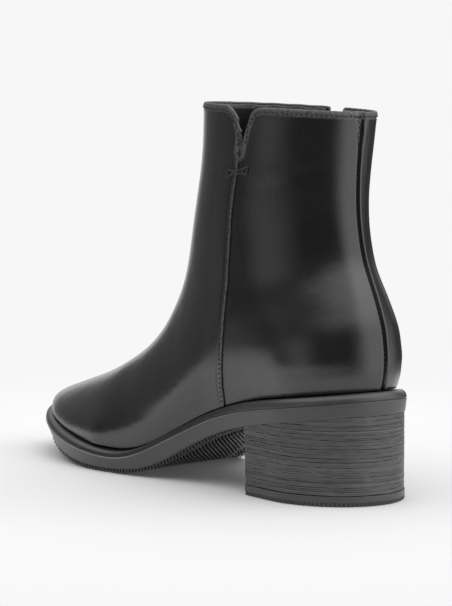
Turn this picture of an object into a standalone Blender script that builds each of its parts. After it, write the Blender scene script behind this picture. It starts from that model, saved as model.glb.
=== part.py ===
"""Left ankle boot with a block heel, an outer side notch and an inner zip, as separate named solids.

Sizes are in millimetres. The boot is laid out from its rearmost point: +X runs to the toe, +Y to the
outer side of the left foot and +Z up from the floor. It is then centred on the sole's own box.
"""

import math

import bmesh
import bpy
import numpy as np
from mathutils import Matrix

MM = 0.001
FIT_GAP = 0.3
OUTER, INNER = 1, -1

# Sole sizes: the rim is the widest line of the side, the feather is where the upper meets it.
SOLE_LENGTH = 263.0
SOLE_STATIONS = 48
HEEL_ROUND = 40.0
HEEL_POWER = 2.1
TOE_ROUND = 98.0
TOE_POWER = 2.0
BEVEL_DROP = 3.4
BEAD_DROP = 0.8
BEAD_STEP = 0.35
TREAD_STEP = 1.6
TREAD_CHAMFER = 0.4
FLAT_START = 146.0
FLAT_END = 176.0

# Plan of the rim: the centre line leans to the outer side by shift, half_width is before the end rounds.
PLAN_COLUMNS = ("station", "shift", "half_width")
PLAN = (
    (0.0, 0.0, 32.0),
    (36.0, 0.0, 33.0),
    (92.0, 2.2, 30.0),
    (135.0, 2.6, 37.5),
    (172.0, 1.0, 44.5),
    (215.0, -2.0, 45.5),
    (263.0, -7.5, 44.5),
)

# Side view of the sole: rim_top is the feather's height, wall_low the side wall's lower edge.
# tread is the step down to the walking face, ledge the rim's width outside the upper, taper the
# wall's lean inwards.
SIDE_COLUMNS = ("station", "rim_top", "wall_low", "tread", "ledge", "taper")
SIDE = (
    (0.0, 51.8, 41.4, 0.3, 2.8, 0.6),
    (31.0, 47.6, 36.8, 0.3, 2.4, 0.6),
    (62.0, 42.9, 31.6, 0.4, 2.2, 0.7),
    (93.0, 34.4, 22.8, 1.0, 2.2, 0.8),
    (109.0, 27.2, 15.4, 1.3, 2.3, 0.9),
    (121.0, 21.4, 9.4, 1.6, 2.5, 1.0),
    (133.0, 15.8, 4.8, 1.8, 2.7, 1.0),
    (148.0, 11.4, 2.3, 2.0, 2.9, 1.0),
    (166.0, 11.0, 1.8, 2.0, 3.2, 1.1),
    (184.0, 12.8, 2.7, 1.9, 3.3, 1.4),
    (205.0, 15.4, 5.0, 1.6, 3.4, 1.9),
    (232.0, 19.0, 8.8, 1.4, 3.5, 2.6),
    (263.0, 22.8, 12.6, 1.2, 3.6, 3.2),
)
INNER_ARCH = 18.0
ARCH_START = 64.0
ARCH_END = 208.0

# Heel block and its top piece.
HEEL_BREAST_TOP = 64.5
HEEL_BREAST_LOW = 62.5
HEEL_STATIONS = 14
HEEL_INSET = 1.0
LIFT_HEIGHT = 4.6
LIFT_INSET = 0.7
LIFT_BEVEL = 0.6

# Upper: one row for each ring round the last, from the feather up to the collar.
# back and front are the ring's ends in side view; heel, waist and ball are half widths at fixed
# stations; back_round and front_round are the lengths of its rounded ends; level is how far the ring
# has changed from the sole's bent line to a flat one.
LAST_STATIONS = (30.0, 92.0, 172.0)
LAST_COLUMNS = (
    "back_x", "back_z", "front_x", "front_z",
    "heel", "waist", "ball", "back_round", "front_round", "level", "lean",
)
LAST = (
    (4.2, 52.1, 259.4, 23.5, 28.4, 26.8, 40.6, 38.0, 92.0, 0.00, 0.0),
    (2.8, 57.0, 258.3, 27.1, 29.9, 28.4, 41.2, 39.0, 98.0, 0.05, 0.0),
    (2.0, 62.0, 250.8, 30.8, 30.8, 30.0, 40.9, 40.0, 106.0, 0.11, 0.0),
    (1.8, 67.0, 237.8, 34.5, 31.3, 31.2, 40.1, 40.0, 112.0, 0.18, 0.0),
    (2.3, 72.5, 222.0, 38.7, 31.5, 32.6, 39.3, 41.0, 113.0, 0.28, 0.0),
    (3.7, 80.0, 202.6, 44.3, 31.4, 33.9, 38.6, 42.0, 110.0, 0.40, 0.0),
    (6.6, 88.0, 184.3, 51.2, 30.5, 34.8, 38.2, 43.0, 106.0, 0.52, 0.0),
    (10.2, 96.0, 168.0, 59.2, 29.4, 35.2, 37.0, 44.0, 101.0, 0.64, 0.1),
    (13.9, 104.0, 155.2, 68.4, 28.6, 35.3, 35.8, 45.0, 96.0, 0.75, 0.3),
    (17.2, 112.5, 145.0, 79.6, 28.1, 35.1, 35.1, 45.0, 90.0, 0.84, 0.6),
    (19.3, 121.0, 137.2, 91.2, 27.8, 34.7, 34.7, 46.0, 83.0, 0.91, 0.9),
    (20.4, 130.0, 132.2, 103.4, 27.8, 34.3, 34.3, 46.0, 76.0, 0.96, 1.2),
    (20.5, 139.5, 127.9, 117.0, 28.4, 34.0, 34.0, 47.0, 68.0, 0.99, 1.5),
    (19.9, 150.0, 123.2, 132.5, 29.7, 33.8, 33.8, 48.0, 61.0, 1.00, 1.7),
    (18.6, 161.5, 118.0, 151.0, 31.1, 33.7, 33.7, 49.0, 54.0, 1.00, 1.8),
    (16.8, 176.6, 115.2, 178.2, 32.5, 33.8, 33.8, 50.0, 49.0, 1.00, 1.8),
)
SEAT_GAP = 0.4
BACK_POWER = 2.05
FRONT_POWER = 2.05
WALL = 1.5
COLLAR_TILT = 1.3
COLLAR_HALF = 34.0
RING_SAMPLES = 161

# Lines on the upper in side view: where they run, station by height.
LINE_COLUMNS = ("height", "station")
SIDE_SEAM = (
    (38.0, 81.5), (49.0, 78.8), (61.0, 75.8), (73.0, 74.2), (85.0, 72.8), (97.0, 71.8), (109.0, 71.2),
    (121.0, 70.0), (134.5, 67.4), (146.0, 64.4), (158.0, 61.4), (178.0, 57.0),
)
ZIP_LINE = ((50.0, 98.0), (90.0, 90.0), (120.0, 83.5), (150.0, 77.5), (180.0, 72.0))
SEAM_STEP = 0.7
SEAM_FADE = 16.0
BACK_GROOVE = 1.1
BACK_SEAM_SHIFT = 3.9
NOTCH_DEPTH = 20.0
NOTCH_HALF = 9.5
NOTCH_POWER = 0.5
NOTCH_REACH = 34.0

# Zip: the slot in the upper and what closes it.
ZIP_LOW_HEIGHT = 70.0
SLOT_HALF = 5.2
SLOT_ROUND = 14.0
TAPE_DEPTH = 0.7
TAPE_THICK = 1.0
CHAIN_HALF = 2.1
CHAIN_PROUD = 0.9
SLIDER_HEIGHT = 163.0
SLIDER_LENGTH = 9.0
SLIDER_HALF = 3.6
SLIDER_NOSE_HALF = 2.5
SLIDER_THICK = 2.2
BRIDGE_HALF = 1.1
BRIDGE_HOLE = 4.6
BRIDGE_CLEAR = 2.1
BRIDGE_BAR = 0.9
PULL_LENGTH = 14.0
PULL_HALF = 3.2
PULL_WINDOW_HALF = 1.9
PULL_WINDOW = 8.0
PULL_THICK = 1.1

INSOLE_THICK = 2.5
INSOLE_INSET = 2.0

# Columns of the upper's grid: counts of even steps, and extra columns beside each line in millimetres.
GRID_LEVELS = 24
BACK_TO_SEAM = 8
SEAM_TO_FRONT = 15
FRONT_TO_ZIP = 16
ZIP_TO_BACK = 6
SEAM_COLUMNS = (-14.0, -9.0, -5.0, -2.2, -0.7, 0.0, 0.6, 2.2, 5.0, 9.0, 14.0)
GROOVE_COLUMNS = (1.6, 5.0)


class Curve:
    """Natural cubic spline through a short table of places and values."""

    def __init__(self, places, values):
        self.x = np.asarray(places, float)
        self.y = np.asarray(values, float)
        step = np.diff(self.x)
        slope = np.diff(self.y) / step
        n = len(self.x)
        system = np.eye(n)
        right = np.zeros(n)
        for i in range(1, n - 1):
            system[i, i - 1:i + 2] = step[i - 1], 2 * (step[i - 1] + step[i]), step[i]
            right[i] = 6 * (slope[i] - slope[i - 1])
        self.bend = np.linalg.solve(system, right)

    def __call__(self, place):
        place = np.clip(place, self.x[0], self.x[-1])
        i = np.clip(np.searchsorted(self.x, place) - 1, 0, len(self.x) - 2)
        width = self.x[i + 1] - self.x[i]
        a = (self.x[i + 1] - place) / width
        b = 1 - a
        bent = (a**3 - a) * self.bend[i] + (b**3 - b) * self.bend[i + 1]
        return a * self.y[i] + b * self.y[i + 1] + bent * width**2 / 6


def curves(names, table, places=None):
    """One curve for each named column, over the first column or over the places given."""
    table = np.asarray(table, float)
    if places is None:
        places = table[:, 0]
    return {name: Curve(places, table[:, k]) for k, name in enumerate(names)}


def round_end(distance, length, power):
    """Share of the full width at a distance from a rounded end of that length."""
    share = np.clip(1 - np.clip(distance, 0, length) / length, 0, 1)
    return (1 - share**power) ** (1 / power)


PLAN_OF = curves(PLAN_COLUMNS, PLAN)
SIDE_OF = curves(SIDE_COLUMNS, SIDE)
SEAM_AT = Curve(*zip(*SIDE_SEAM))
ZIP_AT = Curve(*zip(*ZIP_LINE))


def side_station(x, side):
    """Station whose heights hold at x; on the inner side the arch reaches further to the toe."""
    share = np.clip((x - ARCH_START) / (ARCH_END - ARCH_START), 0, 1)
    return x - np.where(side < 0, INNER_ARCH * np.sin(math.pi * share) ** 2, 0.0)


def sole_side(name, x, side):
    """Value of a side-view column on one side of the sole."""
    return SIDE_OF[name](side_station(x, side))


def tread_low(x, side):
    """Height of the tread's face: flat on the floor under the ball, clear of it elsewhere."""
    low = np.maximum(sole_side("wall_low", x, side) - sole_side("tread", x, side), 0.0)
    station = side_station(x, side)
    return np.where((station >= FLAT_START) & (station <= FLAT_END), 0.0, low)


def rim_edges(x):
    """Outer and inner edge of the rim at a station, as two arrays of Y."""
    half = PLAN_OF["half_width"](x)
    half = half * round_end(x, HEEL_ROUND, HEEL_POWER)
    half = half * round_end(SOLE_LENGTH - x, TOE_ROUND, TOE_POWER)
    shift = PLAN_OF["shift"](x)
    return shift + half, shift - half


def closed_outline(stations):
    """Loop of plan points from the back tip along the outer side to the toe tip and back inside."""
    outer, inner = rim_edges(stations)
    x = np.concatenate([stations, stations[-2:0:-1]])
    y = np.concatenate([outer, inner[-2:0:-1]])
    return np.stack([x, y], 1)


def heel_outline(stations):
    """D-shaped loop of plan points: the back tip, the outer side to the breast, then the inner side."""
    outer, inner = rim_edges(stations)
    x = np.concatenate([stations, stations[:0:-1]])
    y = np.concatenate([outer, inner[:0:-1]])
    return np.stack([x, y], 1)


def loop_sides(loop):
    """1 for the outer side's points of a paired loop and -1 for the inner side's."""
    return np.where(np.arange(len(loop)) <= len(loop) // 2, OUTER, INNER)


def inward(loop):
    """Unit vectors that point into a plan loop, whose order is clockwise from above."""
    along = np.roll(loop, -1, 0) - np.roll(loop, 1, 0)
    along /= np.linalg.norm(along, axis=1)[:, None]
    return np.stack([along[:, 1], -along[:, 0]], 1)


def cap(first, count, paired_tip):
    """Triangles that close a loop whose outer and inner sides are paired, from its vertex index."""
    faces = []
    last = count // 2 if paired_tip else (count - 1) // 2
    for i in range(last):
        near, far = first + i, first + i + 1
        far_inner, near_inner = first + (count - i - 1) % count, first + (count - i) % count
        faces += [face for face in ([near, far, far_inner], [near, far_inner, near_inner])
                  if len(set(face)) == 3]
    return faces


def lofted(rings, paired_tip):
    """Points and faces of a solid through equal rings, top ring first, with both ends capped."""
    count = len(rings[0])
    faces = cap(0, count, paired_tip)
    for k in range(len(rings) - 1):
        for i in range(count):
            j = (i + 1) % count
            faces.append([k * count + j, k * count + i, (k + 1) * count + i, (k + 1) * count + j])
    base = (len(rings) - 1) * count
    faces += [face[::-1] for face in cap(base, count, paired_tip)]
    return np.concatenate(rings), faces


def cosine_stations(length, count, both_ends):
    """Stations that crowd towards the back end, or towards both ends."""
    if both_ends:
        return length * (1 - np.cos(np.linspace(0, math.pi, count + 1))) / 2
    return length * (1 - np.cos(np.linspace(0, math.pi / 2, count + 1)))


def sole_stations():
    """Stations of the outsole, with one at each end of the flat spot."""
    x = cosine_stations(SOLE_LENGTH, SOLE_STATIONS, True)
    for edge in (FLAT_START, FLAT_END):
        x[np.argmin(np.abs(x - edge))] = edge
    return x


def outsole():
    """Moulded sole: bevel, bead, side wall, recessed tread, arch and toe spring in one solid."""
    loop = closed_outline(sole_stations())
    side = loop_sides(loop)
    ledge = SIDE_OF["ledge"](loop[:, 0])
    taper = SIDE_OF["taper"](loop[:, 0])
    flush = np.zeros(len(loop))
    rings = []
    for inset, drop in (
        (ledge + WALL + INSOLE_INSET, 0.0),
        (ledge, 0.0),
        (ledge * 0.45, BEVEL_DROP * 0.35),
        (flush, BEVEL_DROP),
        (flush + BEAD_STEP, BEVEL_DROP + BEAD_DROP),
    ):
        ring = loop + inward(loop) * inset[:, None]
        rings.append(np.column_stack([ring, sole_side("rim_top", ring[:, 0], side) - drop]))
    for inset in (taper, taper + TREAD_STEP):
        ring = loop + inward(loop) * inset[:, None]
        rings.append(np.column_stack([ring, sole_side("wall_low", ring[:, 0], side)]))
    ring = loop + inward(loop) * (taper + TREAD_STEP + TREAD_CHAMFER)[:, None]
    rings.append(np.column_stack([ring, tread_low(ring[:, 0], side)]))
    return lofted(rings, True)


def heel_ring(breast, inset, height):
    """Ring of the heel at an inset from the rim; height is a value or a function of the station."""
    stations = cosine_stations(breast, HEEL_STATIONS, False)
    loop = heel_outline(stations)
    way = inward(loop)
    corner = loop[:, 0] >= breast - 1e-6
    way[corner] = np.column_stack([np.zeros(2), -np.sign(loop[corner, 1])])
    moved = loop + way * inset
    z = height(loop[:, 0]) if callable(height) else np.full(len(loop), height)
    return np.column_stack([moved, z])


def heel_block():
    """Stacked block between the lift and the sole's sloping seat."""
    def seat(x):
        return tread_low(x, OUTER) - FIT_GAP

    rings = [
        heel_ring(HEEL_BREAST_TOP, HEEL_INSET, seat),
        heel_ring(HEEL_BREAST_LOW, HEEL_INSET, LIFT_HEIGHT + FIT_GAP),
    ]
    return lofted(rings, False)


def heel_lift():
    """Top piece that meets the floor, with a small bevel at its lower edge."""
    rings = [
        heel_ring(HEEL_BREAST_LOW, LIFT_INSET, LIFT_HEIGHT),
        heel_ring(HEEL_BREAST_LOW, LIFT_INSET, LIFT_BEVEL),
        heel_ring(HEEL_BREAST_LOW - LIFT_BEVEL, LIFT_INSET + LIFT_BEVEL, 0.0),
    ]
    return lofted(rings, False)


def insole():
    """Sock that lies on the sole inside the upper."""
    loop = closed_outline(sole_stations())
    inset = SIDE_OF["ledge"](loop[:, 0]) + WALL + INSOLE_INSET
    moved = loop + inward(loop) * inset[:, None]
    low = sole_side("rim_top", moved[:, 0], loop_sides(loop)) + FIT_GAP
    rings = [np.column_stack([moved, low + INSOLE_THICK]), np.column_stack([moved, low])]
    return lofted(rings, True)


class Last:
    """Outer surface of the upper: rings from the feather, at level 0, to the collar, at level 1."""

    def __init__(self):
        table = np.asarray(LAST, float)
        ends = table[:, :4]
        step = np.diff(ends, axis=0)
        grown = np.hypot(step[:, 0], step[:, 1]) + np.hypot(step[:, 2], step[:, 3])
        places = np.concatenate([[0], np.cumsum(grown)])
        self.of = curves(LAST_COLUMNS, LAST, places / places[-1])
        self.kept = {}

    def ring(self, level, side):
        """Dense points of half a ring, from the back to the front, and their share of its length."""
        key = (round(float(level), 6), side)
        if key in self.kept:
            return self.kept[key]
        row = {name: float(curve(level)) for name, curve in self.of.items()}
        turn = (1 - np.cos(np.linspace(0, math.pi, RING_SAMPLES))) / 2
        length = row["front_x"] - row["back_x"]
        x = row["back_x"] + length * turn
        half = Curve(LAST_STATIONS, (row["heel"], row["waist"], row["ball"]))(x)
        half = half * round_end(x - row["back_x"], row["back_round"], BACK_POWER)
        half = half * round_end(row["front_x"] - x, row["front_round"], FRONT_POWER)
        bent = 1 - min(max(row["level"], 0.0), 1.0)
        shift = PLAN_OF["shift"](x) * bent + row["lean"]
        z = row["back_z"] + (row["front_z"] - row["back_z"]) * turn
        z = z + bent * self.sole_bend(turn, side)
        y = shift + side * half
        z = z + COLLAR_TILT * level**4 * y / COLLAR_HALF
        points = np.stack([x, y, z], 1)
        run = np.concatenate([[0], np.cumsum(np.linalg.norm(np.diff(points, axis=0), axis=1))])
        self.kept[key] = points, run
        return self.kept[key]

    def sole_bend(self, turn, side):
        """How far the feather lies above the straight line between its own two ends."""
        back, front = float(self.of["back_x"](0)), float(self.of["front_x"](0))
        x = back + (front - back) * turn
        ends = float(self.of["back_z"](0)), float(self.of["front_z"](0))
        return sole_side("rim_top", x, side) + FIT_GAP - (ends[0] + (ends[1] - ends[0]) * turn)

    def point(self, level, side, run):
        """Point at a distance along half a ring from its back end, past it when negative."""
        points, along = self.ring(level, side if run >= 0 else -side)
        run = abs(run)
        return np.array([np.interp(run, along, points[:, k]) for k in range(3)])

    def length(self, level, side):
        """Length of half a ring."""
        return self.ring(level, side)[1][-1]

    def line_run(self, level, side, line):
        """Distance along half a ring at which it crosses a line of station by height."""
        points, along = self.ring(level, side)
        past = points[:, 0] - line(points[:, 2])
        i = int(np.argmax(past > 0))
        share = past[i - 1] / (past[i - 1] - past[i])
        return along[i - 1] + share * (along[i] - along[i - 1])

    def level_at(self, height, side, line):
        """Level at which a line on the upper stands at a height."""
        low, high = 0.0, 1.0
        for _ in range(40):
            middle = (low + high) / 2
            z = self.point(middle, side, self.line_run(middle, side, line))[2]
            low, high = (middle, high) if z < height else (low, middle)
        return (low + high) / 2


def slot_half(height):
    """Half width of the zip's slot, which narrows to a round lower end."""
    return SLOT_HALF * float(round_end(height - ZIP_LOW_HEIGHT, SLOT_ROUND, 2.0))


def level_rows(last):
    """Levels of the upper's grid, with one at the slot's lower end and one at the notch's reach."""
    levels = np.linspace(0, 1, GRID_LEVELS + 1)
    for wanted in (last.level_at(ZIP_LOW_HEIGHT, INNER, ZIP_AT), notch_reach_level(last)):
        levels[np.argmin(np.abs(levels - wanted))] = wanted
    return levels


def notch_reach_level(last):
    """Level below which the side notch leaves the grid as it is."""
    collar = last.point(1.0, OUTER, last.line_run(1.0, OUTER, SEAM_AT))[2]
    return last.level_at(collar - NOTCH_REACH, OUTER, SEAM_AT)


def notch_drop(offset):
    """How far the collar's edge drops at a distance from the side seam."""
    share = min(abs(offset) / NOTCH_HALF, 1.0)
    return NOTCH_DEPTH * (1 - share**NOTCH_POWER)


def outer_columns(last, level):
    """Runs of the outer half's columns at a level, and each one's offset from the side seam."""
    seam = last.line_run(level, OUTER, SEAM_AT)
    end = last.length(level, OUTER)
    groove = np.array((0.0,) + GROOVE_COLUMNS) - BACK_SEAM_SHIFT
    back = np.linspace(groove[-1], seam + SEAM_COLUMNS[0], BACK_TO_SEAM + 1)[1:-1]
    front = np.linspace(seam + SEAM_COLUMNS[-1], end, SEAM_TO_FRONT + 1)[1:]
    return np.concatenate([groove, back, seam + np.array(SEAM_COLUMNS), front]), seam


def inner_columns(last, level):
    """Runs of the inner half's columns, from the front round to the back, and the zip's own run."""
    line = last.line_run(level, INNER, ZIP_AT)
    end = last.length(level, INNER)
    half = slot_half(last.point(level, INNER, line)[2])
    half = max(half, SLOT_HALF * 0.3)
    front = np.linspace(end, line + half + 2, FRONT_TO_ZIP + 1)[1:]
    groove = np.array(GROOVE_COLUMNS[::-1]) + BACK_SEAM_SHIFT
    back = np.linspace(line - half - 2, groove[0], ZIP_TO_BACK + 1)[:-1]
    slot = np.array([line + half, line, line - half])
    return np.concatenate([front, slot, back, groove]), line


def upper_grid(last, levels):
    """Outer surface of the upper as an array of levels by columns, and the slot's first column."""
    reach = notch_reach_level(last)
    collar = last.point(1.0, OUTER, last.line_run(1.0, OUTER, SEAM_AT))[2]
    foot = last.point(reach, OUTER, last.line_run(reach, OUTER, SEAM_AT))[2]
    grid = []
    for level in levels:
        runs, seam = outer_columns(last, level)
        row = []
        for run in runs:
            lowered = level
            if level > reach:
                drop = notch_drop(run - seam) / (collar - foot)
                lowered = reach + (level - reach) * (1 - drop)
            row.append(seam_relief(last, lowered, run, seam, run == runs[0], runs[-1]))
        runs, _ = inner_columns(last, level)
        row += [last.point(level, INNER, run) for run in runs]
        grid.append(row)
    first_slot = len(outer_columns(last, 1.0)[0]) + FRONT_TO_ZIP
    return np.array(grid), first_slot


def seam_relief(last, level, run, seam, at_back, end):
    """Outer point with the front panel's lap at the side seam and the groove of the back seam."""
    here = last.point(level, OUTER, run)
    ahead = last.point(level, OUTER, min(run + 1.0, end))
    along = ahead - last.point(level, OUTER, run - 1.0)
    out = np.array([-along[1], along[0], 0.0])
    out /= np.linalg.norm(out)
    lap = SEAM_STEP * max(0.0, 1 - (run - seam) / SEAM_FADE) if run >= seam else 0.0
    groove = BACK_GROOVE if at_back else 0.0
    return here + out * lap - out * groove


def grid_normals(grid):
    """Outward unit normals of a grid that is closed round its columns."""
    across = np.roll(grid, -1, 1) - np.roll(grid, 1, 1)
    up = np.gradient(grid, axis=0)
    normal = np.cross(up, across)
    return -normal / np.linalg.norm(normal, axis=2)[:, :, None]


def upper(last):
    """Hollow leather shell with its notch and zip slot, open at the collar and under the foot."""
    levels = level_rows(last)
    grid, slot = upper_grid(last, levels)
    slot_row = int(np.argmin(np.abs(levels - last.level_at(ZIP_LOW_HEIGHT, INNER, ZIP_AT))))
    normal = grid_normals(grid)
    inside = grid - normal * WALL
    outer_count = len(outer_columns(last, 0.0)[0])
    side = np.where(np.arange(grid.shape[1]) < outer_count, OUTER, INNER)
    for ring in (grid[0], inside[0]):
        ring[:, 2] = sole_side("rim_top", ring[:, 0], side) + SEAT_GAP
    rows, columns = grid.shape[:2]
    count = rows * columns
    outer_faces = []
    for i in range(rows - 1):
        for k in range(columns):
            if i >= slot_row and k in (slot, slot + 1):
                continue
            j = (k + 1) % columns
            outer_faces.append([i * columns + k, (i + 1) * columns + k, (i + 1) * columns + j, i * columns + j])
    return shell(np.concatenate([grid.reshape(-1, 3), inside.reshape(-1, 3)]), outer_faces, count)


def shell(points, outer_faces, count):
    """Closes a sheet and its inner copy, count points later, along every open edge."""
    edges = {(f[i], f[(i + 1) % len(f)]) for f in outer_faces for i in range(len(f))}
    faces = [list(f) for f in outer_faces]
    faces += [[v + count for v in f[::-1]] for f in outer_faces]
    faces += [[b, a, a + count, b + count] for a, b in edges if (b, a) not in edges]
    used = sorted({v for f in faces for v in f})
    place = {v: n for n, v in enumerate(used)}
    return points[used], [[place[v] for v in f] for f in faces]


def zip_frames(last, levels):
    """Centre, way across, way up and outward way of the zip at each level."""
    centres = [last.point(v, INNER, last.line_run(v, INNER, ZIP_AT)) for v in levels]
    frames = []
    for n, level in enumerate(levels):
        run = last.line_run(level, INNER, ZIP_AT)
        across = last.point(level, INNER, run + 2) - last.point(level, INNER, run - 2)
        up = centres[min(n + 1, len(levels) - 1)] - centres[max(n - 1, 0)]
        across /= np.linalg.norm(across)
        up /= np.linalg.norm(up)
        out = np.cross(across, up)
        frames.append((centres[n], across, up, out / np.linalg.norm(out)))
    return frames


def ribbon(frames, halves, outside, inside):
    """Solid strip along the zip, between two depths below the upper's face."""
    rings = []
    for (centre, across, _, out), half in zip(frames, halves):
        corners = ((-half, outside), (half, outside), (half, inside), (-half, inside))
        rings.append(np.array([centre + across * w - out * depth for w, depth in corners]))
    count = len(rings)
    faces = [[0, 1, 2, 3], [4 * count - 1, 4 * count - 2, 4 * count - 3, 4 * count - 4]]
    for k in range(count - 1):
        for i in range(4):
            j = (i + 1) % 4
            faces.append([4 * k + j, 4 * k + i, 4 * k + 4 + i, 4 * k + 4 + j])
    return np.concatenate(rings), faces


def zip_levels(last, low, high, count):
    """Even levels of the zip between two heights."""
    return np.linspace(last.level_at(low, INNER, ZIP_AT), last.level_at(high, INNER, ZIP_AT), count)


def zip_tape(last):
    """Woven tape that fills the slot below the leather's face."""
    frames = zip_frames(last, zip_levels(last, ZIP_LOW_HEIGHT + 2.5, 174.5, 15))
    halves = [slot_half(frame[0][2]) - FIT_GAP for frame in frames]
    return ribbon(frames, halves, TAPE_DEPTH, TAPE_DEPTH + TAPE_THICK)


def zip_chain(last):
    """Coil of the closed zip, standing a little proud of the leather."""
    top = SLIDER_HEIGHT - SLIDER_LENGTH / 2 - 1
    frames = zip_frames(last, zip_levels(last, ZIP_LOW_HEIGHT + 5, top, 13))
    return ribbon(frames, [CHAIN_HALF] * len(frames), -CHAIN_PROUD, TAPE_DEPTH - FIT_GAP)


def plate(outline, low, high):
    """Points and faces of a flat outline between two heights."""
    n = len(outline)
    points = [(x, y, low) for x, y in outline] + [(x, y, high) for x, y in outline]
    faces = [list(range(n))[::-1], list(range(n, 2 * n))]
    faces += [[i, (i + 1) % n, n + (i + 1) % n, n + i] for i in range(n)]
    return np.array(points, float), faces


def box(x, y, z):
    """Points and faces of a block between pairs of limits."""
    return plate([(x[0], y[0]), (x[1], y[0]), (x[1], y[1]), (x[0], y[1])], *z)


def slider_parts():
    """Body and bridge of the slider in its own frame: X across, Y up the zip, Z away from the boot."""
    half = SLIDER_LENGTH / 2
    outline = [
        (-SLIDER_NOSE_HALF, -half), (SLIDER_NOSE_HALF, -half), (SLIDER_HALF, -half + 2.2),
        (SLIDER_HALF, half - 1.4), (SLIDER_HALF - 1.4, half), (-SLIDER_HALF + 1.4, half),
        (-SLIDER_HALF, half - 1.4), (-SLIDER_HALF, -half + 2.2),
    ]
    body = plate(outline, FIT_GAP - TAPE_DEPTH, SLIDER_THICK)
    hole = BRIDGE_HOLE / 2
    side = (-BRIDGE_HALF, BRIDGE_HALF)
    rise = SLIDER_THICK + BRIDGE_CLEAR
    bars = [
        box(side, (-hole - BRIDGE_BAR, hole + BRIDGE_BAR), (rise, rise + BRIDGE_BAR)),
        box(side, (-hole - BRIDGE_BAR, -hole), (SLIDER_THICK - 0.5, rise + 0.4)),
        box(side, (hole, hole + BRIDGE_BAR), (SLIDER_THICK - 0.5, rise + 0.4)),
    ]
    return body, bars


def pull_axis_local():
    """Hinge of the pull in the slider's frame: it hangs at the lower end of the bridge's hole."""
    return np.array([0.0, -BRIDGE_HOLE / 2 + PULL_THICK, SLIDER_THICK + BRIDGE_CLEAR / 2])


def zip_pull():
    """Open frame whose upper bar passes under the bridge, about its own hinge."""
    bar = PULL_THICK / 2
    tip = PULL_HALF * 0.62
    outer = [
        (-PULL_HALF, bar), (-PULL_HALF, -PULL_LENGTH + 2), (-tip, -PULL_LENGTH),
        (tip, -PULL_LENGTH), (PULL_HALF, -PULL_LENGTH + 2), (PULL_HALF, bar),
    ]
    hole_low = -PULL_WINDOW
    inner = [
        (-PULL_WINDOW_HALF, -bar), (-PULL_WINDOW_HALF, hole_low + 1), (-PULL_WINDOW_HALF + 1, hole_low),
        (PULL_WINDOW_HALF - 1, hole_low), (PULL_WINDOW_HALF, hole_low + 1), (PULL_WINDOW_HALF, -bar),
    ]
    n = len(outer)
    flat = [(x, y, -bar) for x, y in outer + inner] + [(x, y, bar) for x, y in outer + inner]
    faces = []
    for i in range(n):
        j = (i + 1) % n
        faces.append([i, j, n + j, n + i])
        faces.append([2 * n + j, 2 * n + i, 3 * n + i, 3 * n + j])
        faces.append([j, i, 2 * n + i, 2 * n + j])
        faces.append([n + i, n + j, 3 * n + j, 3 * n + i])
    return np.array(flat, float), faces


# Finishes: colour, roughness and metallic value of each material.
FINISHES = {
    "leather": ((0.018, 0.018, 0.019), 0.32, 0.0),
    "rubber": ((0.035, 0.035, 0.037), 0.55, 0.0),
    "stack": ((0.045, 0.045, 0.048), 0.6, 0.0),
    "lining": ((0.02, 0.02, 0.022), 0.9, 0.0),
    "tape": ((0.015, 0.015, 0.016), 0.85, 0.0),
    "metal": ((0.12, 0.12, 0.13), 0.3, 1.0),
}


def material(name):
    """Principled material of a named finish, made once."""
    found = bpy.data.materials.get(name)
    if found:
        return found
    made = bpy.data.materials.new(name)
    made.use_nodes = True
    shader = made.node_tree.nodes["Principled BSDF"]
    colour, roughness, metallic = FINISHES[name]
    shader.inputs["Base Color"].default_value = (*colour, 1.0)
    shader.inputs["Roughness"].default_value = roughness
    shader.inputs["Metallic"].default_value = metallic
    return made


def add_solid(name, shape, finish, parent, smooth_angle=35.0):
    """Adds a named object from points in millimetres and faces."""
    points, faces = shape
    mesh = bpy.data.meshes.new(name)
    mesh.from_pydata([tuple(p * MM) for p in points], [], faces)
    work = bmesh.new()
    work.from_mesh(mesh)
    bmesh.ops.recalc_face_normals(work, faces=work.faces)
    work.to_mesh(mesh)
    work.free()
    mesh.materials.append(material(finish))
    mesh.shade_smooth()
    mesh.set_sharp_from_angle(angle=math.radians(smooth_angle))
    thing = bpy.data.objects.new(name, mesh)
    bpy.context.scene.collection.objects.link(thing)
    thing.parent = parent
    return thing


def add_empty(name, parent=None):
    """Adds an empty that carries other objects."""
    thing = bpy.data.objects.new(name, None)
    bpy.context.scene.collection.objects.link(thing)
    thing.parent = parent
    return thing


def fuse(target, others):
    """Joins other objects into the target with exact unions and hides them as helpers."""
    for other in others:
        other.hide_render = True
        other.display_type = "WIRE"
        join = target.modifiers.new("join_" + other.name, "BOOLEAN")
        join.operation = "UNION"
        join.object = other


def frame_matrix(frame):
    """Matrix that places a part made across, up and out of the zip at the frame's centre."""
    centre, _, up, out = frame
    rows = np.eye(4)
    rows[:3, 0] = np.cross(up, out)
    rows[:3, 1] = up
    rows[:3, 2] = out
    rows[:3, 3] = centre * MM
    return Matrix(rows.tolist())


def build_zip(last, root):
    """Tape, coil, slider and the pull that hinges on the slider's bridge."""
    add_solid("zip_tape", zip_tape(last), "tape", root)
    add_solid("zip_chain", zip_chain(last), "tape", root)
    frame = zip_frames(last, zip_levels(last, SLIDER_HEIGHT - 3, SLIDER_HEIGHT + 3, 3))[1]
    seat = add_empty("slider_seat", root)
    seat.matrix_local = frame_matrix(frame)
    body, bars = slider_parts()
    slider = add_solid("zip_slider", body, "metal", seat)
    fuse(slider, [add_solid(f"bridge_bar_{n}", bar, "metal", seat) for n, bar in enumerate(bars)])
    pull = add_solid("zip_pull", zip_pull(), "metal", seat)
    pull.location = [v * MM for v in pull_axis_local()]


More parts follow.
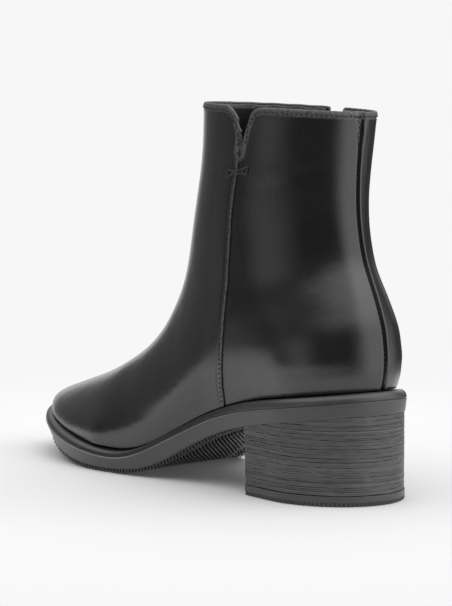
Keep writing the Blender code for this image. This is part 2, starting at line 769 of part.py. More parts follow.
def centre_shift():
    """Move that puts the sole's box centre on the origin."""
    outer, inner = rim_edges(np.linspace(0, SOLE_LENGTH, 2001))
    return -SOLE_LENGTH / 2, -(outer.max() + inner.min()) / 2, 0.0


def main():
    """Clears the scene and builds every piece of the boot under one empty."""
    for thing in list(bpy.data.objects):
        bpy.data.objects.remove(thing)
    root = add_empty("boot")
    root.location = [v * MM for v in centre_shift()]
    last = Last()
    add_solid("outsole", outsole(), "rubber", root)
    add_solid("heel_block", heel_block(), "stack", root)
    add_solid("heel_lift", heel_lift(), "rubber", root)
    add_solid("insole", insole(), "lining", root)
    add_solid("upper", upper(last), "leather", root, 50.0)
    build_zip(last, root)


main()
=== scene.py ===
"""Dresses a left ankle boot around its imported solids: leather upper, sole, stacked heel, zip and studio.

Sizes are in millimetres from the boot's rearmost point, as the solids are laid out: +X runs to the toe,
+Y to the outer side and +Z up from the floor. Meshes are placed in metres about the sole's box centre.
"""

from __future__ import annotations

import logging
import math
from contextlib import contextmanager
from dataclasses import dataclass, field
from enum import Enum, IntEnum
from typing import Any, Iterator, Sequence

import bpy
import numpy as np
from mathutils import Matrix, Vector, kdtree

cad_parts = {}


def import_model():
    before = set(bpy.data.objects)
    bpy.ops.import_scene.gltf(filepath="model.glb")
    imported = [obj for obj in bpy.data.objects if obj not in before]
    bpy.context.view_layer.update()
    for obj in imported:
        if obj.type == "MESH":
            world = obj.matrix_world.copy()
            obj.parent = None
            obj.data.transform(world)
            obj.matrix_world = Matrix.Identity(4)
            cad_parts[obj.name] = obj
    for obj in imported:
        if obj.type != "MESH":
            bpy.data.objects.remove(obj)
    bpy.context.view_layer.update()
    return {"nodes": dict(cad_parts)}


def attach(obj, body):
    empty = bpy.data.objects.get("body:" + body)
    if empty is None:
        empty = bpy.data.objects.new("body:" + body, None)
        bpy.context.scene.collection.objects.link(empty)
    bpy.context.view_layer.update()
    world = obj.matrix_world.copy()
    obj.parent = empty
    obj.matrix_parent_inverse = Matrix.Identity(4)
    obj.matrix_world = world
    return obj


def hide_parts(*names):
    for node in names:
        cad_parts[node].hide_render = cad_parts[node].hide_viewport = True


LOG = logging.getLogger("boot")
MM = 0.001
WHITE = (1.0, 1.0, 1.0, 1.0)
# Distance in millimetres that counts as out of reach, and the angle past which small pieces stay sharp.
FAR = 99.0
SMALL_ANGLE = 60.0
Points = np.ndarray
Colour = tuple[float, float, float]
Pair = tuple[float, float]
Row = tuple[float, ...]
Thing = bpy.types.Object
Material = bpy.types.Material
Socket = bpy.types.NodeSocket


class Side(IntEnum):
    """Outer or inner side of the boot."""

    OUTER = 1
    INNER = -1


class Body(Enum):
    """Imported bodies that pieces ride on."""

    BOOT = "boot"
    PULL = "zip_pull"


# Plan of the sole's rim: the centre line leans to the outer side by shift.
PLAN_COLUMNS = ("station", "shift", "half_width")
PLAN = (
    (0.0, 0.0, 32.0),
    (36.0, 0.0, 33.0),
    (92.0, 2.2, 30.0),
    (135.0, 2.6, 37.5),
    (172.0, 1.0, 44.5),
    (215.0, -2.0, 45.5),
    (263.0, -7.5, 44.5),
)

# Side view of the sole: heights of the feather and of the wall's lower edge, the tread's step, the rim's
# width outside the upper and the wall's lean inwards.
SIDE_COLUMNS = ("station", "rim_top", "wall_low", "tread", "ledge", "taper")
SIDE = (
    (0.0, 51.8, 41.4, 0.3, 2.8, 0.6),
    (31.0, 47.6, 36.8, 0.3, 2.4, 0.6),
    (62.0, 42.9, 31.6, 0.4, 2.2, 0.7),
    (93.0, 34.4, 22.8, 1.0, 2.2, 0.8),
    (109.0, 27.2, 15.4, 1.3, 2.3, 0.9),
    (121.0, 21.4, 9.4, 1.6, 2.5, 1.0),
    (133.0, 15.8, 4.8, 1.8, 2.7, 1.0),
    (148.0, 11.4, 2.3, 2.0, 2.9, 1.0),
    (166.0, 11.0, 1.8, 2.0, 3.2, 1.1),
    (184.0, 12.8, 2.7, 1.9, 3.3, 1.4),
    (205.0, 15.4, 5.0, 1.6, 3.4, 1.9),
    (232.0, 19.0, 8.8, 1.4, 3.5, 2.6),
    (263.0, 22.8, 12.6, 1.2, 3.6, 3.2),
)

# Section of the sole from the feather down: share of the ledge and drop of the rim, inset and drop of the
# groove and the bead, inset and rise of the wall's foot, inset and share of the way down of the tread's edge.
RIM_SECTION = (
    (1.05, 0.0), (0.92, 0.04), (0.74, 0.20), (0.54, 0.52), (0.36, 0.98), (0.20, 1.55), (0.08, 2.20),
    (0.02, 2.90), (0.0, 3.40), (0.0, 3.80),
)
BEAD_SECTION = (
    (0.36, 3.95), (0.40, 4.15), (0.06, 4.28), (-0.10, 4.45), (-0.10, 4.75), (0.06, 4.95), (0.08, 5.20),
)
FOOT_SECTION = ((0.06, 0.45), (0.28, 0.10), (0.60, 0.0))
TREAD_SECTION = ((1.70, 0.0), (1.75, 0.3), (1.85, 0.6), (2.1, 1.0))

# Section of a rib, share of its width by share of its depth, and of the sock, inset by rise.
RIB_SECTION = ((-0.5, 0.0), (-0.34, 1.0), (0.34, 1.0), (0.5, 0.0))
SOCK_SECTION = ((1.3, 2.42), (0.7, 2.36), (0.25, 2.1), (0.0, 1.5), (0.0, 0.0))

# Section of the heel's lift: height, inset and depth of the serration.
LIFT_SECTION = (
    (4.6, 0.95, 0.0), (4.42, 0.72, 0.0), (4.2, 0.70, 0.0), (2.8, 0.70, 0.0), (1.75, 0.70, 0.0),
    (1.60, 0.72, 0.80), (0.30, 0.76, 0.80), (0.0, 1.0, 0.75),
)

# Upper: one row for each ring round the last, from the feather up to the collar.
LAST_STATIONS = (30.0, 92.0, 172.0)
LAST_COLUMNS = (
    "back_x", "back_z", "front_x", "front_z",
    "heel", "waist", "ball", "back_round", "front_round", "level", "lean",
)
LAST = (
    (4.2, 52.1, 259.4, 23.5, 28.4, 26.8, 40.6, 38.0, 92.0, 0.00, 0.0),
    (2.8, 57.0, 258.3, 27.1, 29.9, 28.4, 41.2, 39.0, 98.0, 0.05, 0.0),
    (2.0, 62.0, 250.8, 30.8, 30.8, 30.0, 40.9, 40.0, 106.0, 0.11, 0.0),
    (1.8, 67.0, 237.8, 34.5, 31.3, 31.2, 40.1, 40.0, 112.0, 0.18, 0.0),
    (2.3, 72.5, 222.0, 38.7, 31.5, 32.6, 39.3, 41.0, 113.0, 0.28, 0.0),
    (3.7, 80.0, 202.6, 44.3, 31.4, 33.9, 38.6, 42.0, 110.0, 0.40, 0.0),
    (6.6, 88.0, 184.3, 51.2, 30.5, 34.8, 38.2, 43.0, 106.0, 0.52, 0.0),
    (10.2, 96.0, 168.0, 59.2, 29.4, 35.2, 37.0, 44.0, 101.0, 0.64, 0.1),
    (13.9, 104.0, 155.2, 68.4, 28.6, 35.3, 35.8, 45.0, 96.0, 0.75, 0.3),
    (17.2, 112.5, 145.0, 79.6, 28.1, 35.1, 35.1, 45.0, 90.0, 0.84, 0.6),
    (19.3, 121.0, 137.2, 91.2, 27.8, 34.7, 34.7, 46.0, 83.0, 0.91, 0.9),
    (20.4, 130.0, 132.2, 103.4, 27.8, 34.3, 34.3, 46.0, 76.0, 0.96, 1.2),
    (20.5, 139.5, 127.9, 117.0, 28.4, 34.0, 34.0, 47.0, 68.0, 0.99, 1.5),
    (19.9, 150.0, 123.2, 132.5, 29.7, 33.8, 33.8, 48.0, 61.0, 1.00, 1.7),
    (18.6, 161.5, 118.0, 151.0, 31.1, 33.7, 33.7, 49.0, 54.0, 1.00, 1.8),
    (16.8, 176.6, 115.2, 178.2, 32.5, 33.8, 33.8, 50.0, 49.0, 1.00, 1.8),
)

# Lines on the upper in side view, station by height.
SIDE_SEAM = (
    (38.0, 81.5), (49.0, 78.8), (61.0, 75.8), (73.0, 74.2), (85.0, 72.8), (97.0, 71.8), (109.0, 71.2),
    (121.0, 70.0), (134.5, 67.4), (146.0, 64.4), (158.0, 61.4), (178.0, 57.0),
)
ZIP_LINE = ((50.0, 98.0), (90.0, 90.0), (120.0, 83.5), (150.0, 77.5), (180.0, 72.0))

# Side notch: drop below the collar, and how far the front and the rear edge stand from the seam there.
NOTCH = (
    (0.0, 13.0, 10.0),
    (0.5, 11.2, 7.6),
    (1.3, 9.3, 5.7),
    (2.5, 7.3, 4.3),
    (3.8, 5.7, 3.6),
    (6.4, 3.9, 2.9),
    (8.9, 2.7, 2.1),
    (11.5, 1.4, 1.6),
    (14.0, 0.5, 1.15),
    (17.0, 0.2, 0.8),
    (20.0, 0.08, 0.4),
    (23.0, 0.0, 0.0),
)

# Folded edge: distance from the edge and rise of the leather there.
FOLD_PROFILE = (
    (0.0, 0.3, 0.7, 1.2, 1.8, 2.2, 2.6, 3.0, 3.5, 4.5),
    (-0.30, 0.02, 0.18, 0.22, 0.12, -0.02, -0.16, 0.00, 0.07, 0.0),
)

# Soft troughs and ridges of the leather: side, two ends as station and height, half width and rise.
CREASE_COLUMNS = ("side", "x0", "z0", "x1", "z1", "width", "rise")
CREASES = (
    (1, 22.0, 108.0, 58.0, 96.0, 9.0, -0.55),
    (1, 30.0, 92.0, 70.0, 84.0, 8.0, 0.35),
    (1, 40.0, 124.0, 66.0, 118.0, 8.0, -0.30),
    (1, 30.0, 150.0, 60.0, 146.0, 4.0, -0.18),
    (1, 28.0, 143.0, 58.0, 141.0, 3.5, 0.14),
    (1, 84.0, 104.0, 118.0, 78.0, 10.0, -0.45),
    (1, 98.0, 92.0, 140.0, 62.0, 9.0, 0.25),
    (1, 120.0, 58.0, 158.0, 44.0, 9.0, -0.40),
    (1, 150.0, 52.0, 182.0, 34.0, 10.0, 0.25),
    (-1, 24.0, 106.0, 62.0, 96.0, 9.0, -0.50),
    (-1, 100.0, 98.0, 128.0, 72.0, 10.0, -0.40),
    (-1, 120.0, 60.0, 160.0, 42.0, 10.0, -0.40),
    (-1, 140.0, 54.0, 178.0, 36.0, 9.0, 0.25),
)


class Curve:
    """Natural cubic spline through a short table of places and values."""

    def __init__(self, places: Sequence[float], values: Sequence[float]) -> None:
        """Solves the spline's bends.

        Args:
            places: Growing places.
            values: Value at each place.
        """
        self.x = np.asarray(places, float)
        self.y = np.asarray(values, float)
        step = np.diff(self.x)
        slope = np.diff(self.y) / step
        count = len(self.x)
        system = np.eye(count)
        right = np.zeros(count)
        for i in range(1, count - 1):
            system[i, i - 1:i + 2] = step[i - 1], 2 * (step[i - 1] + step[i]), step[i]
            right[i] = 6 * (slope[i] - slope[i - 1])
        self.bend = np.linalg.solve(system, right)

    def __call__(self, place: Any) -> Any:
        """Value on the spline, held at the table's ends.

        Args:
            place: Place, or array of places.

        Returns:
            Value at each place.
        """
        place = np.clip(place, self.x[0], self.x[-1])
        i = np.clip(np.searchsorted(self.x, place) - 1, 0, len(self.x) - 2)
        width = self.x[i + 1] - self.x[i]
        a = (self.x[i + 1] - place) / width
        b = 1 - a
        bent = (a**3 - a) * self.bend[i] + (b**3 - b) * self.bend[i + 1]
        return a * self.y[i] + b * self.y[i + 1] + bent * width**2 / 6


def curves(
    names: Sequence[str], table: Sequence[Sequence[float]], places: Points | None = None,
) -> dict[str, Curve]:
    """One curve for each named column.

    Args:
        names: Column names.
        table: Rows of the table.
        places: Places of the rows, or None for the first column.

    Returns:
        Curves by column name.
    """
    rows = np.asarray(table, float)
    where = rows[:, 0] if places is None else places
    return {name: Curve(where, rows[:, k]) for k, name in enumerate(names)}


def round_end(distance: Any, length: float, power: float) -> Any:
    """Share of the full width at a distance from a rounded end of that length."""
    share = np.clip(1 - np.clip(distance, 0, length) / length, 0, 1)
    return (1 - share**power) ** (1 / power)


def smooth_step(low: float, high: float, value: Any) -> Any:
    """Soft step from 0 at low to 1 at high."""
    share = np.clip((value - low) / (high - low), 0, 1)
    return share * share * (3 - 2 * share)


def unit(vectors: Points) -> Points:
    """Vectors scaled to length 1."""
    return vectors / np.maximum(np.linalg.norm(vectors, axis=-1, keepdims=True), 1e-9)


def run_along(path: Points) -> Points:
    """Distance run along a path at each of its points."""
    return np.concatenate([[0], np.cumsum(np.linalg.norm(np.diff(path, axis=0), axis=1))])


def inward(loop: Points) -> Points:
    """Unit vectors that point into a closed plan loop."""
    along = unit(np.roll(loop, -1, 0) - np.roll(loop, 1, 0))
    return np.stack([along[:, 1], -along[:, 0]], 1)


def resampled(path: Points, pitch: float) -> Points:
    """Evenly spaced places along a path.

    Args:
        path: Points of the path.
        pitch: Wanted distance between places.

    Returns:
        Fractional indices into the path.
    """
    run = run_along(path)
    count = max(int(run[-1] / pitch), 1)
    wanted = (np.arange(count) + 0.5) * run[-1] / count
    return np.interp(wanted, run, np.arange(len(path)))


def picked(values: Points, index: Points) -> Points:
    """Rows of an array at fractional indices."""
    steps = np.arange(len(values))
    return np.stack([np.interp(index, steps, values[:, k]) for k in range(values.shape[1])], 1)


@dataclass
class SoleForm:
    """Plan and side view of the sole, shared by every piece that meets it."""

    length: float = 263.0
    heel_round: float = 40.0
    heel_power: float = 2.1
    toe_round: float = 98.0
    toe_power: float = 2.0
    flat_start: float = 146.0
    flat_end: float = 176.0
    inner_arch: float = 18.0
    arch_start: float = 64.0
    arch_end: float = 208.0
    plan: dict[str, Curve] = field(default_factory=lambda: curves(PLAN_COLUMNS, PLAN))
    side: dict[str, Curve] = field(default_factory=lambda: curves(SIDE_COLUMNS, SIDE))

    def centre(self) -> Points:
        """Move that puts the centre of the sole's box on the origin."""
        outer, inner = self.rim(np.linspace(0, self.length, 2001))
        return np.array([-self.length / 2, -(outer.max() + inner.min()) / 2, 0.0])

    def station(self, x: Any, side: Any) -> Any:
        """Station whose heights hold at x: on the inner side the arch reaches further forward."""
        share = np.clip((x - self.arch_start) / (self.arch_end - self.arch_start), 0, 1)
        return x - np.where(np.asarray(side) < 0, self.inner_arch * np.sin(math.pi * share) ** 2, 0.0)

    def height(self, name: str, x: Any, side: Any) -> Any:
        """Value of a side-view column on one side of the sole."""
        return self.side[name](self.station(x, side))

    def tread_low(self, x: Any, side: Any) -> Any:
        """Height of the tread's face, flat on the floor under the ball.

        Args:
            x: Stations.
            side: Side of the sole.

        Returns:
            Heights.
        """
        low = np.maximum(self.height("wall_low", x, side) - self.height("tread", x, side), 0.0)
        station = self.station(x, side)
        return np.where((station >= self.flat_start) & (station <= self.flat_end), 0.0, low)

    def rim(self, x: Any) -> tuple[Any, Any]:
        """Plan of the rim.

        Args:
            x: Stations.

        Returns:
            Its outer and its inner edge.
        """
        half = self.plan["half_width"](x) * round_end(x, self.heel_round, self.heel_power)
        half = half * round_end(self.length - x, self.toe_round, self.toe_power)
        shift = self.plan["shift"](x)
        return shift + half, shift - half

    def loop(self, stations: Points) -> tuple[Points, Points, Points]:
        """Closed plan loop of the rim.

        Args:
            stations: Stations from the back tip to the toe tip.

        Returns:
            Plan points, their side and the unit vectors that point inwards.
        """
        outer, inner = self.rim(stations)
        x = np.concatenate([stations, stations[-2:0:-1]])
        loop = np.stack([x, np.concatenate([outer, inner[-2:0:-1]])], 1)
        side = np.where(np.arange(len(loop)) < len(stations), Side.OUTER, Side.INNER)
        return loop, side, inward(loop)

    def stations(self, count: int) -> Points:
        """Stations that crowd towards both tips."""
        return self.length * (1 - np.cos(np.linspace(0, math.pi, count + 1))) / 2


@dataclass
class LastForm:
    """Outer face of the upper: rings from the feather, at level 0, to the collar, at level 1."""

    sole: SoleForm
    back_power: float = 2.05
    front_power: float = 2.05
    fit_gap: float = 0.3
    samples: int = 481
    collar_tilt: float = 1.3
    collar_half: float = 34.0

    def __post_init__(self) -> None:
        """Reads the ring table into curves over the level."""
        table = np.asarray(LAST, float)
        step = np.diff(table[:, :4], axis=0)
        grown = np.hypot(step[:, 0], step[:, 1]) + np.hypot(step[:, 2], step[:, 3])
        places = np.concatenate([[0], np.cumsum(grown)])
        self.of = curves(LAST_COLUMNS, LAST, places / places[-1])
        self.seam = Curve(*zip(*SIDE_SEAM))
        self.zip = Curve(*zip(*ZIP_LINE))
        self.turn = (1 - np.cos(np.linspace(0, math.pi, self.samples))) / 2
        self.bend = {side: self.sole_bend(side) for side in Side}
        self.kept: dict[tuple[float, int], tuple[Points, Points]] = {}

    def sole_bend(self, side: Side) -> Points:
        """How far the feather lies above the straight line between its own two ends.

        Args:
            side: Side of the boot.

        Returns:
            Heights along half a ring.
        """
        ends = [float(self.of[name](0)) for name in ("back_x", "front_x", "back_z", "front_z")]
        x = ends[0] + (ends[1] - ends[0]) * self.turn
        line = ends[2] + (ends[3] - ends[2]) * self.turn
        return self.sole.height("rim_top", x, side) + self.fit_gap - line

    def ring(self, level: float, side: Side) -> tuple[Points, Points]:
        """Half a ring from the back to the front.

        Args:
            level: Level of the ring.
            side: Side of the boot.

        Returns:
            Dense points and their run along it.
        """
        key = (round(float(level), 6), int(side))
        if key in self.kept:
            return self.kept[key]
        row = {name: float(curve(level)) for name, curve in self.of.items()}
        x = row["back_x"] + (row["front_x"] - row["back_x"]) * self.turn
        half = Curve(LAST_STATIONS, (row["heel"], row["waist"], row["ball"]))(x)
        half = half * round_end(x - row["back_x"], row["back_round"], self.back_power)
        half = half * round_end(row["front_x"] - x, row["front_round"], self.front_power)
        bent = 1 - min(max(row["level"], 0.0), 1.0)
        y = self.sole.plan["shift"](x) * bent + row["lean"] + side * half
        z = row["back_z"] + (row["front_z"] - row["back_z"]) * self.turn + bent * self.bend[side]
        z = z + self.collar_tilt * level**4 * y / self.collar_half
        points = np.stack([x, y, z], 1)
        self.kept[key] = points, run_along(points)
        return self.kept[key]

    def points(self, level: float, side: Side, runs: Points) -> Points:
        """Points along half a ring.

        Args:
            level: Level of the ring.
            side: Side of the boot.
            runs: Runs from the back; a negative one passes it to the other side.

        Returns:
            The points.
        """
        runs = np.atleast_1d(np.asarray(runs, float))
        found = np.empty((len(runs), 3))
        for way, mask in ((side, runs >= 0), (Side(-side), runs < 0)):
            if mask.any():
                points, along = self.ring(level, way)
                for k in range(3):
                    found[mask, k] = np.interp(np.abs(runs[mask]), along, points[:, k])
        return found

    def length(self, level: float, side: Side) -> float:
        """Length of half a ring."""
        return float(self.ring(level, side)[1][-1])

    def crossing(self, level: float, side: Side, line: Curve) -> float:
        """Where half a ring crosses a line.

        Args:
            level: Level of the ring.
            side: Side of the boot.
            line: Station by height.

        Returns:
            Run of the crossing.
        """
        points, along = self.ring(level, side)
        past = points[:, 0] - line(points[:, 2])
        i = int(np.argmax(past > 0))
        share = past[i - 1] / (past[i - 1] - past[i])
        return float(along[i - 1] + share * (along[i] - along[i - 1]))

    def level_at(self, height: float, side: Side, line: Curve) -> float:
        """Level at which a line on the upper stands at a height.

        Args:
            height: The height.
            side: Side of the boot.
            line: Station by height.

        Returns:
            The level.
        """
        low, high = 0.0, 1.0
        for _ in range(30):
            middle = (low + high) / 2
            z = self.points(middle, side, self.crossing(middle, side, line))[0, 2]
            low, high = (middle, high) if z < height else (low, middle)
        return (low + high) / 2


class Value:
    """Number socket of a shader, with arithmetic that adds Math nodes."""

    def __init__(self, shader: NodeSheet, socket: Socket) -> None:
        """Keeps the node sheet and the socket it wraps."""
        self.shader = shader
        self.socket = socket

    def joined(self, operation: str, first: Any, second: Any = 0.0) -> Value:
        """New value of a Math node on two operands."""
        node = self.shader.add("ShaderNodeMath", {"operation": operation}, {0: first, 1: second})
        return Value(self.shader, node.outputs[0])

    def __add__(self, other: Any) -> Value:
        """Sum."""
        return self.joined("ADD", self, other)

    def __radd__(self, other: Any) -> Value:
        """Sum, reflected."""
        return self.joined("ADD", other, self)

    def __sub__(self, other: Any) -> Value:
        """Difference."""
        return self.joined("SUBTRACT", self, other)

    def __rsub__(self, other: Any) -> Value:
        """Difference, reflected."""
        return self.joined("SUBTRACT", other, self)

    def __mul__(self, other: Any) -> Value:
        """Product."""
        return self.joined("MULTIPLY", self, other)

    def __rmul__(self, other: Any) -> Value:
        """Product, reflected."""
        return self.joined("MULTIPLY", other, self)

    def turn(self, ahead: Value) -> Value:
        """Turn in degrees from the way ahead to this value's way."""
        return self.joined("ARCTAN2", self, ahead) * math.degrees(1.0)

    def sine(self) -> Value:
        """Sine of the value."""
        return self.joined("SINE", self)

    def step(self, low: float, high: float) -> Value:
        """Soft step.

        Args:
            low: Value below which it is 0.
            high: Value above which it is 1.

        Returns:
            The step.
        """
        node = self.shader.add(
            "ShaderNodeMapRange", {"interpolation_type": "SMOOTHSTEP"},
            {"Value": self, "From Min": low, "From Max": high},
        )
        return Value(self.shader, node.outputs["Result"])


class NodeSheet:
    """Node tree whose nodes come from one method."""

    def __init__(self, tree: bpy.types.NodeTree) -> None:
        """Keeps the tree."""
        self.tree = tree

    def add(
        self, kind: str, settings: dict[str, Any] | None = None, sockets: dict[Any, Any] | None = None,
    ) -> bpy.types.Node:
        """Adds a node.

        Args:
            kind: Node type.
            settings: Properties, set first.
            sockets: Values or links by socket name or index.

        Returns:
            The node.
        """
        node = self.tree.nodes.new(kind)
        for name, value in (settings or {}).items():
            setattr(node, name, value)
        for name, value in (sockets or {}).items():
            self.feed(node.inputs[name], value)
        return node

    def feed(self, socket: Socket, value: Any) -> None:
        """Links an input or sets a constant on it.

        Args:
            socket: The input.
            value: Value, socket or constant.
        """
        if isinstance(value, Value):
            self.tree.links.new(value.socket, socket)
        elif isinstance(value, Socket):
            self.tree.links.new(value, socket)
        else:
            socket.default_value = value


class Shader(NodeSheet):
    """Node material of one finish."""

    def __init__(self, name: str) -> None:
        """Starts a Principled material.

        Args:
            name: Name of the material.
        """
        self.material = bpy.data.materials.new(name)
        self.material.use_nodes = True
        super().__init__(self.material.node_tree)
        self.surface = self.tree.nodes["Principled BSDF"]

    def place(self, stretch: Colour = (1.0, 1.0, 1.0)) -> Socket:
        """Object coordinates, stretched."""
        at = self.add("ShaderNodeTexCoord").outputs["Object"]
        return self.add("ShaderNodeMapping", None, {"Vector": at, "Scale": stretch}).outputs["Vector"]

    def across(self) -> tuple[Value, Value]:
        """The piece's own UV map.

        Returns:
            Its two coordinates.
        """
        at = self.add("ShaderNodeTexCoord").outputs["UV"]
        split = self.add("ShaderNodeSeparateXYZ", None, {"Vector": at})
        return Value(self, split.outputs["X"]), Value(self, split.outputs["Y"])

    def noise(self, scale: float, detail: float = 2.0, stretch: Colour = (1.0, 1.0, 1.0)) -> Value:
        """Noise over the piece, about 0.5.

        Args:
            scale: Cells in a metre.
            detail: Octaves.
            stretch: Scale along each axis.

        Returns:
            The noise.
        """
        node = self.add(
            "ShaderNodeTexNoise", None,
            {"Vector": self.place(stretch), "Scale": scale, "Detail": detail, "Roughness": 0.55},
        )
        return Value(self, node.outputs[0])

    def cells(self, scale: float) -> Value:
        """Distance to the nearest cell point, for pebbled grain."""
        node = self.add("ShaderNodeTexVoronoi", {"feature": "SMOOTH_F1"}, {0: self.place(), "Scale": scale})
        return Value(self, node.outputs["Distance"])

    def layer(self, name: str) -> Value:
        """The piece's own float attribute, 0 where it has none."""
        return Value(self, self.add("ShaderNodeAttribute", {"attribute_name": name}).outputs["Fac"])

    def blend(self, share: Value, first: Any, second: Any) -> Socket:
        """Colour between two colours or sockets by a share."""
        ends = [(*end, 1.0) if isinstance(end, tuple) else end for end in (first, second)]
        return self.add("ShaderNodeMix", {"data_type": "RGBA"}, {0: share, 6: ends[0], 7: ends[1]}).outputs[2]

    def colour(self, share: Value, dark: Any, pale: Any) -> None:
        """Base colour between two colours or sockets by a share."""
        self.feed(self.surface.inputs["Base Color"], self.blend(share, dark, pale))

    def bump(self, height: Value, distance: float) -> None:
        """Bump of a height field whose full range stands for a distance in metres."""
        node = self.add("ShaderNodeBump", None, {"Strength": 1.0, "Distance": distance, "Height": height})
        self.feed(self.surface.inputs["Normal"], node.outputs["Normal"])

    def set(self, sockets: dict[str, Any]) -> None:
        """Sets or links inputs of the Principled node."""
        for name, value in sockets.items():
            self.feed(self.surface.inputs[name], value)


@dataclass(frozen=True)
class Finish:
    """Material of one surface, between a dark and a pale tone."""

    name: str
    dark: Colour
    pale: Colour

    def make(self) -> Material:
        """Builds the material.

        Returns:
            The material, with the finish's own nodes.
        """
        shader = Shader(self.name)
        self.paint(shader)
        return shader.material

    def paint(self, shader: Shader) -> None:
        """Adds the finish's own nodes."""
        raise NotImplementedError


@dataclass(frozen=True)
class SmoothLeather(Finish):
    """Black box leather: fine pores, soft waves and a polished coat, paler along its folded edges, partly
    from wear and partly as a painted highlight.
    """

    name: str = "smooth_leather"
    dark: Colour = (0.0035, 0.0035, 0.0038)
    pale: Colour = (0.0078, 0.0078, 0.0083)
    # Colour of the folded edges: partly real wear, partly a painted highlight where the edges catch light.
    wear_and_sheen_dark: Colour = (0.050, 0.050, 0.0505)
    wear_and_sheen_pale: Colour = (0.140, 0.140, 0.141)
    wear_and_sheen_range: Pair = (0.36, 0.66)
    rough: float = 0.28
    rough_swing: float = 0.10
    rough_worn: float = 0.50
    specular: float = 0.8
    coat: float = 0.35
    coat_rough: float = 0.17
    relief: float = 0.00045

    def paint(self, shader: Shader) -> None:
        """Adds the face, its pores and waves, and the folds, painted paler partly for wear and partly as a
        painted highlight.

        Args:
            shader: Nodes of the material.
        """
        cloud = shader.noise(45.0, 3.0)
        pores = shader.cells(1500.0)
        fine = shader.noise(3200.0)
        wave = shader.noise(70.0)
        rub = shader.noise(1300.0, 3.0)
        fold = shader.layer("fold")
        face = shader.blend(cloud.step(0.3, 0.7), self.dark, self.pale)
        # Folded edges painted paler: partly wear, partly painted highlight.
        wear_and_sheen = shader.blend(rub.step(*self.wear_and_sheen_range), self.wear_and_sheen_dark, self.wear_and_sheen_pale)
        shader.colour(fold, face, wear_and_sheen)
        shader.bump(wave * 0.60 + pores * 0.035 + fine * 0.010 + fold * rub * 0.25, self.relief)
        rough = self.rough + self.rough_swing * (cloud - 0.5) + 0.10 * (fine - 0.5)
        shader.set({
            "Roughness": rough + fold * (self.rough_worn - self.rough),
            "Specular IOR Level": self.specular,
            "Coat Weight": self.coat - fold * self.coat,
            "Coat Roughness": self.coat_rough,
        })


@dataclass(frozen=True)
class CutEdge(Finish):
    """Folded or cut leather edge, paler than the face, partly from wear and partly as a painted highlight."""

    name: str = "leather_edge"
    # Paler than the face: partly wear, partly a painted highlight of the edge.
    dark: Colour = (0.048, 0.048, 0.0485)
    pale: Colour = (0.135, 0.135, 0.135)
    wear_and_sheen_range: Pair = (0.36, 0.66)
    rough: float = 0.50
    relief: float = 0.00012

    def paint(self, shader: Shader) -> None:
        """Adds uneven wear to the paler tone, which is partly a painted highlight.

        Args:
            shader: Nodes of the material.
        """
        wear = shader.noise(1300.0, 4.0)
        fine = shader.noise(2600.0)
        shader.colour(wear.step(*self.wear_and_sheen_range), self.dark, self.pale)
        shader.bump(fine * 0.5 + wear * 0.5, self.relief)
        shader.set({"Roughness": self.rough + 0.2 * (wear - 0.5), "Specular IOR Level": 0.7})


@dataclass(frozen=True)
class Lining(Finish):
    """Matte black lining leather with a short nap."""

    name: str = "lining_leather"
    dark: Colour = (0.022, 0.022, 0.023)
    pale: Colour = (0.060, 0.060, 0.062)
    rough: float = 0.78
    relief: float = 0.00016

    def paint(self, shader: Shader) -> None:
        """Adds the nap.

        Args:
            shader: Nodes of the material.
        """
        nap = shader.noise(1900.0, 3.0)
        cloud = shader.noise(60.0, 3.0)
        shader.colour(cloud * 0.6 + nap * 0.4, self.dark, self.pale)
        shader.bump(nap, self.relief)
        shader.set({"Roughness": self.rough + 0.15 * (cloud - 0.5), "Sheen Weight": 0.15})


@dataclass(frozen=True)
class Rubber(Finish):
    """Moulded dark rubber with a faint mould texture, a rim painted darker as painted shade and a bead
    painted paler as a painted highlight.
    """

    name: str = "moulded_rubber"
    dark: Colour = (0.036, 0.036, 0.037)
    pale: Colour = (0.066, 0.066, 0.068)
    # rim is a painted shade for the rim's groove and bevel; bead is a painted highlight for the bead's lit
    # top.
    rim: Colour = (0.008, 0.008, 0.0085)
    bead: Colour = (0.190, 0.190, 0.195)
    rough: float = 0.36
    specular: float = 0.7
    streak_stretch: Colour = (0.08, 0.08, 1.0)
    relief: float = 0.00012

    def paint(self, shader: Shader) -> None:
        """Adds the mould's streaks, the painted shade on the rim and the painted highlight on the bead.

        Args:
            shader: Nodes of the material.
        """
        cloud = shader.noise(55.0, 4.0)
        streak = shader.noise(900.0, stretch=self.streak_stretch)
        fine = shader.noise(2400.0)
        face = shader.blend(cloud * 0.6 + streak * 0.4, self.dark, self.pale)
        # Painted highlight on the bead, then painted shade on the rim.
        face = shader.blend(shader.layer("bead"), face, self.bead)
        shader.colour(shader.layer("rim"), face, self.rim)
        shader.bump(streak * 0.5 + fine * 0.5, self.relief)
        shader.set({
            "Roughness": self.rough + 0.16 * (cloud - 0.5) + 0.10 * (fine - 0.5),
            "Specular IOR Level": self.specular,
        })


@dataclass(frozen=True)
class StackedHeel(Finish):
    """Thin layers of the heel: fine level streaks, each a little paler or darker."""

    name: str = "heel_stack"
    dark: Colour = (0.050, 0.050, 0.051)
    pale: Colour = (0.110, 0.110, 0.113)
    rough: float = 0.44
    layer_stretch: Colour = (0.012, 0.012, 1.0)
    thread_stretch: Colour = (0.07, 0.07, 1.0)
    relief: float = 0.00030

    def paint(self, shader: Shader) -> None:
        """Adds the streaks of the layers.

        Args:
            shader: Nodes of the material.
        """
        layer = shader.noise(760.0, stretch=self.layer_stretch)
        thread = shader.noise(2100.0, 3.0, self.thread_stretch)
        cloud = shader.noise(70.0, 3.0)
        shade = layer * 0.55 + thread * 0.3 + cloud * 0.15
        shader.colour(shade.step(0.32, 0.68), self.dark, self.pale)
        shader.bump(layer * 0.5 + thread * 0.5, self.relief)
        shader.set({"Roughness": self.rough + 0.25 * (thread - 0.5), "Specular IOR Level": 0.55})


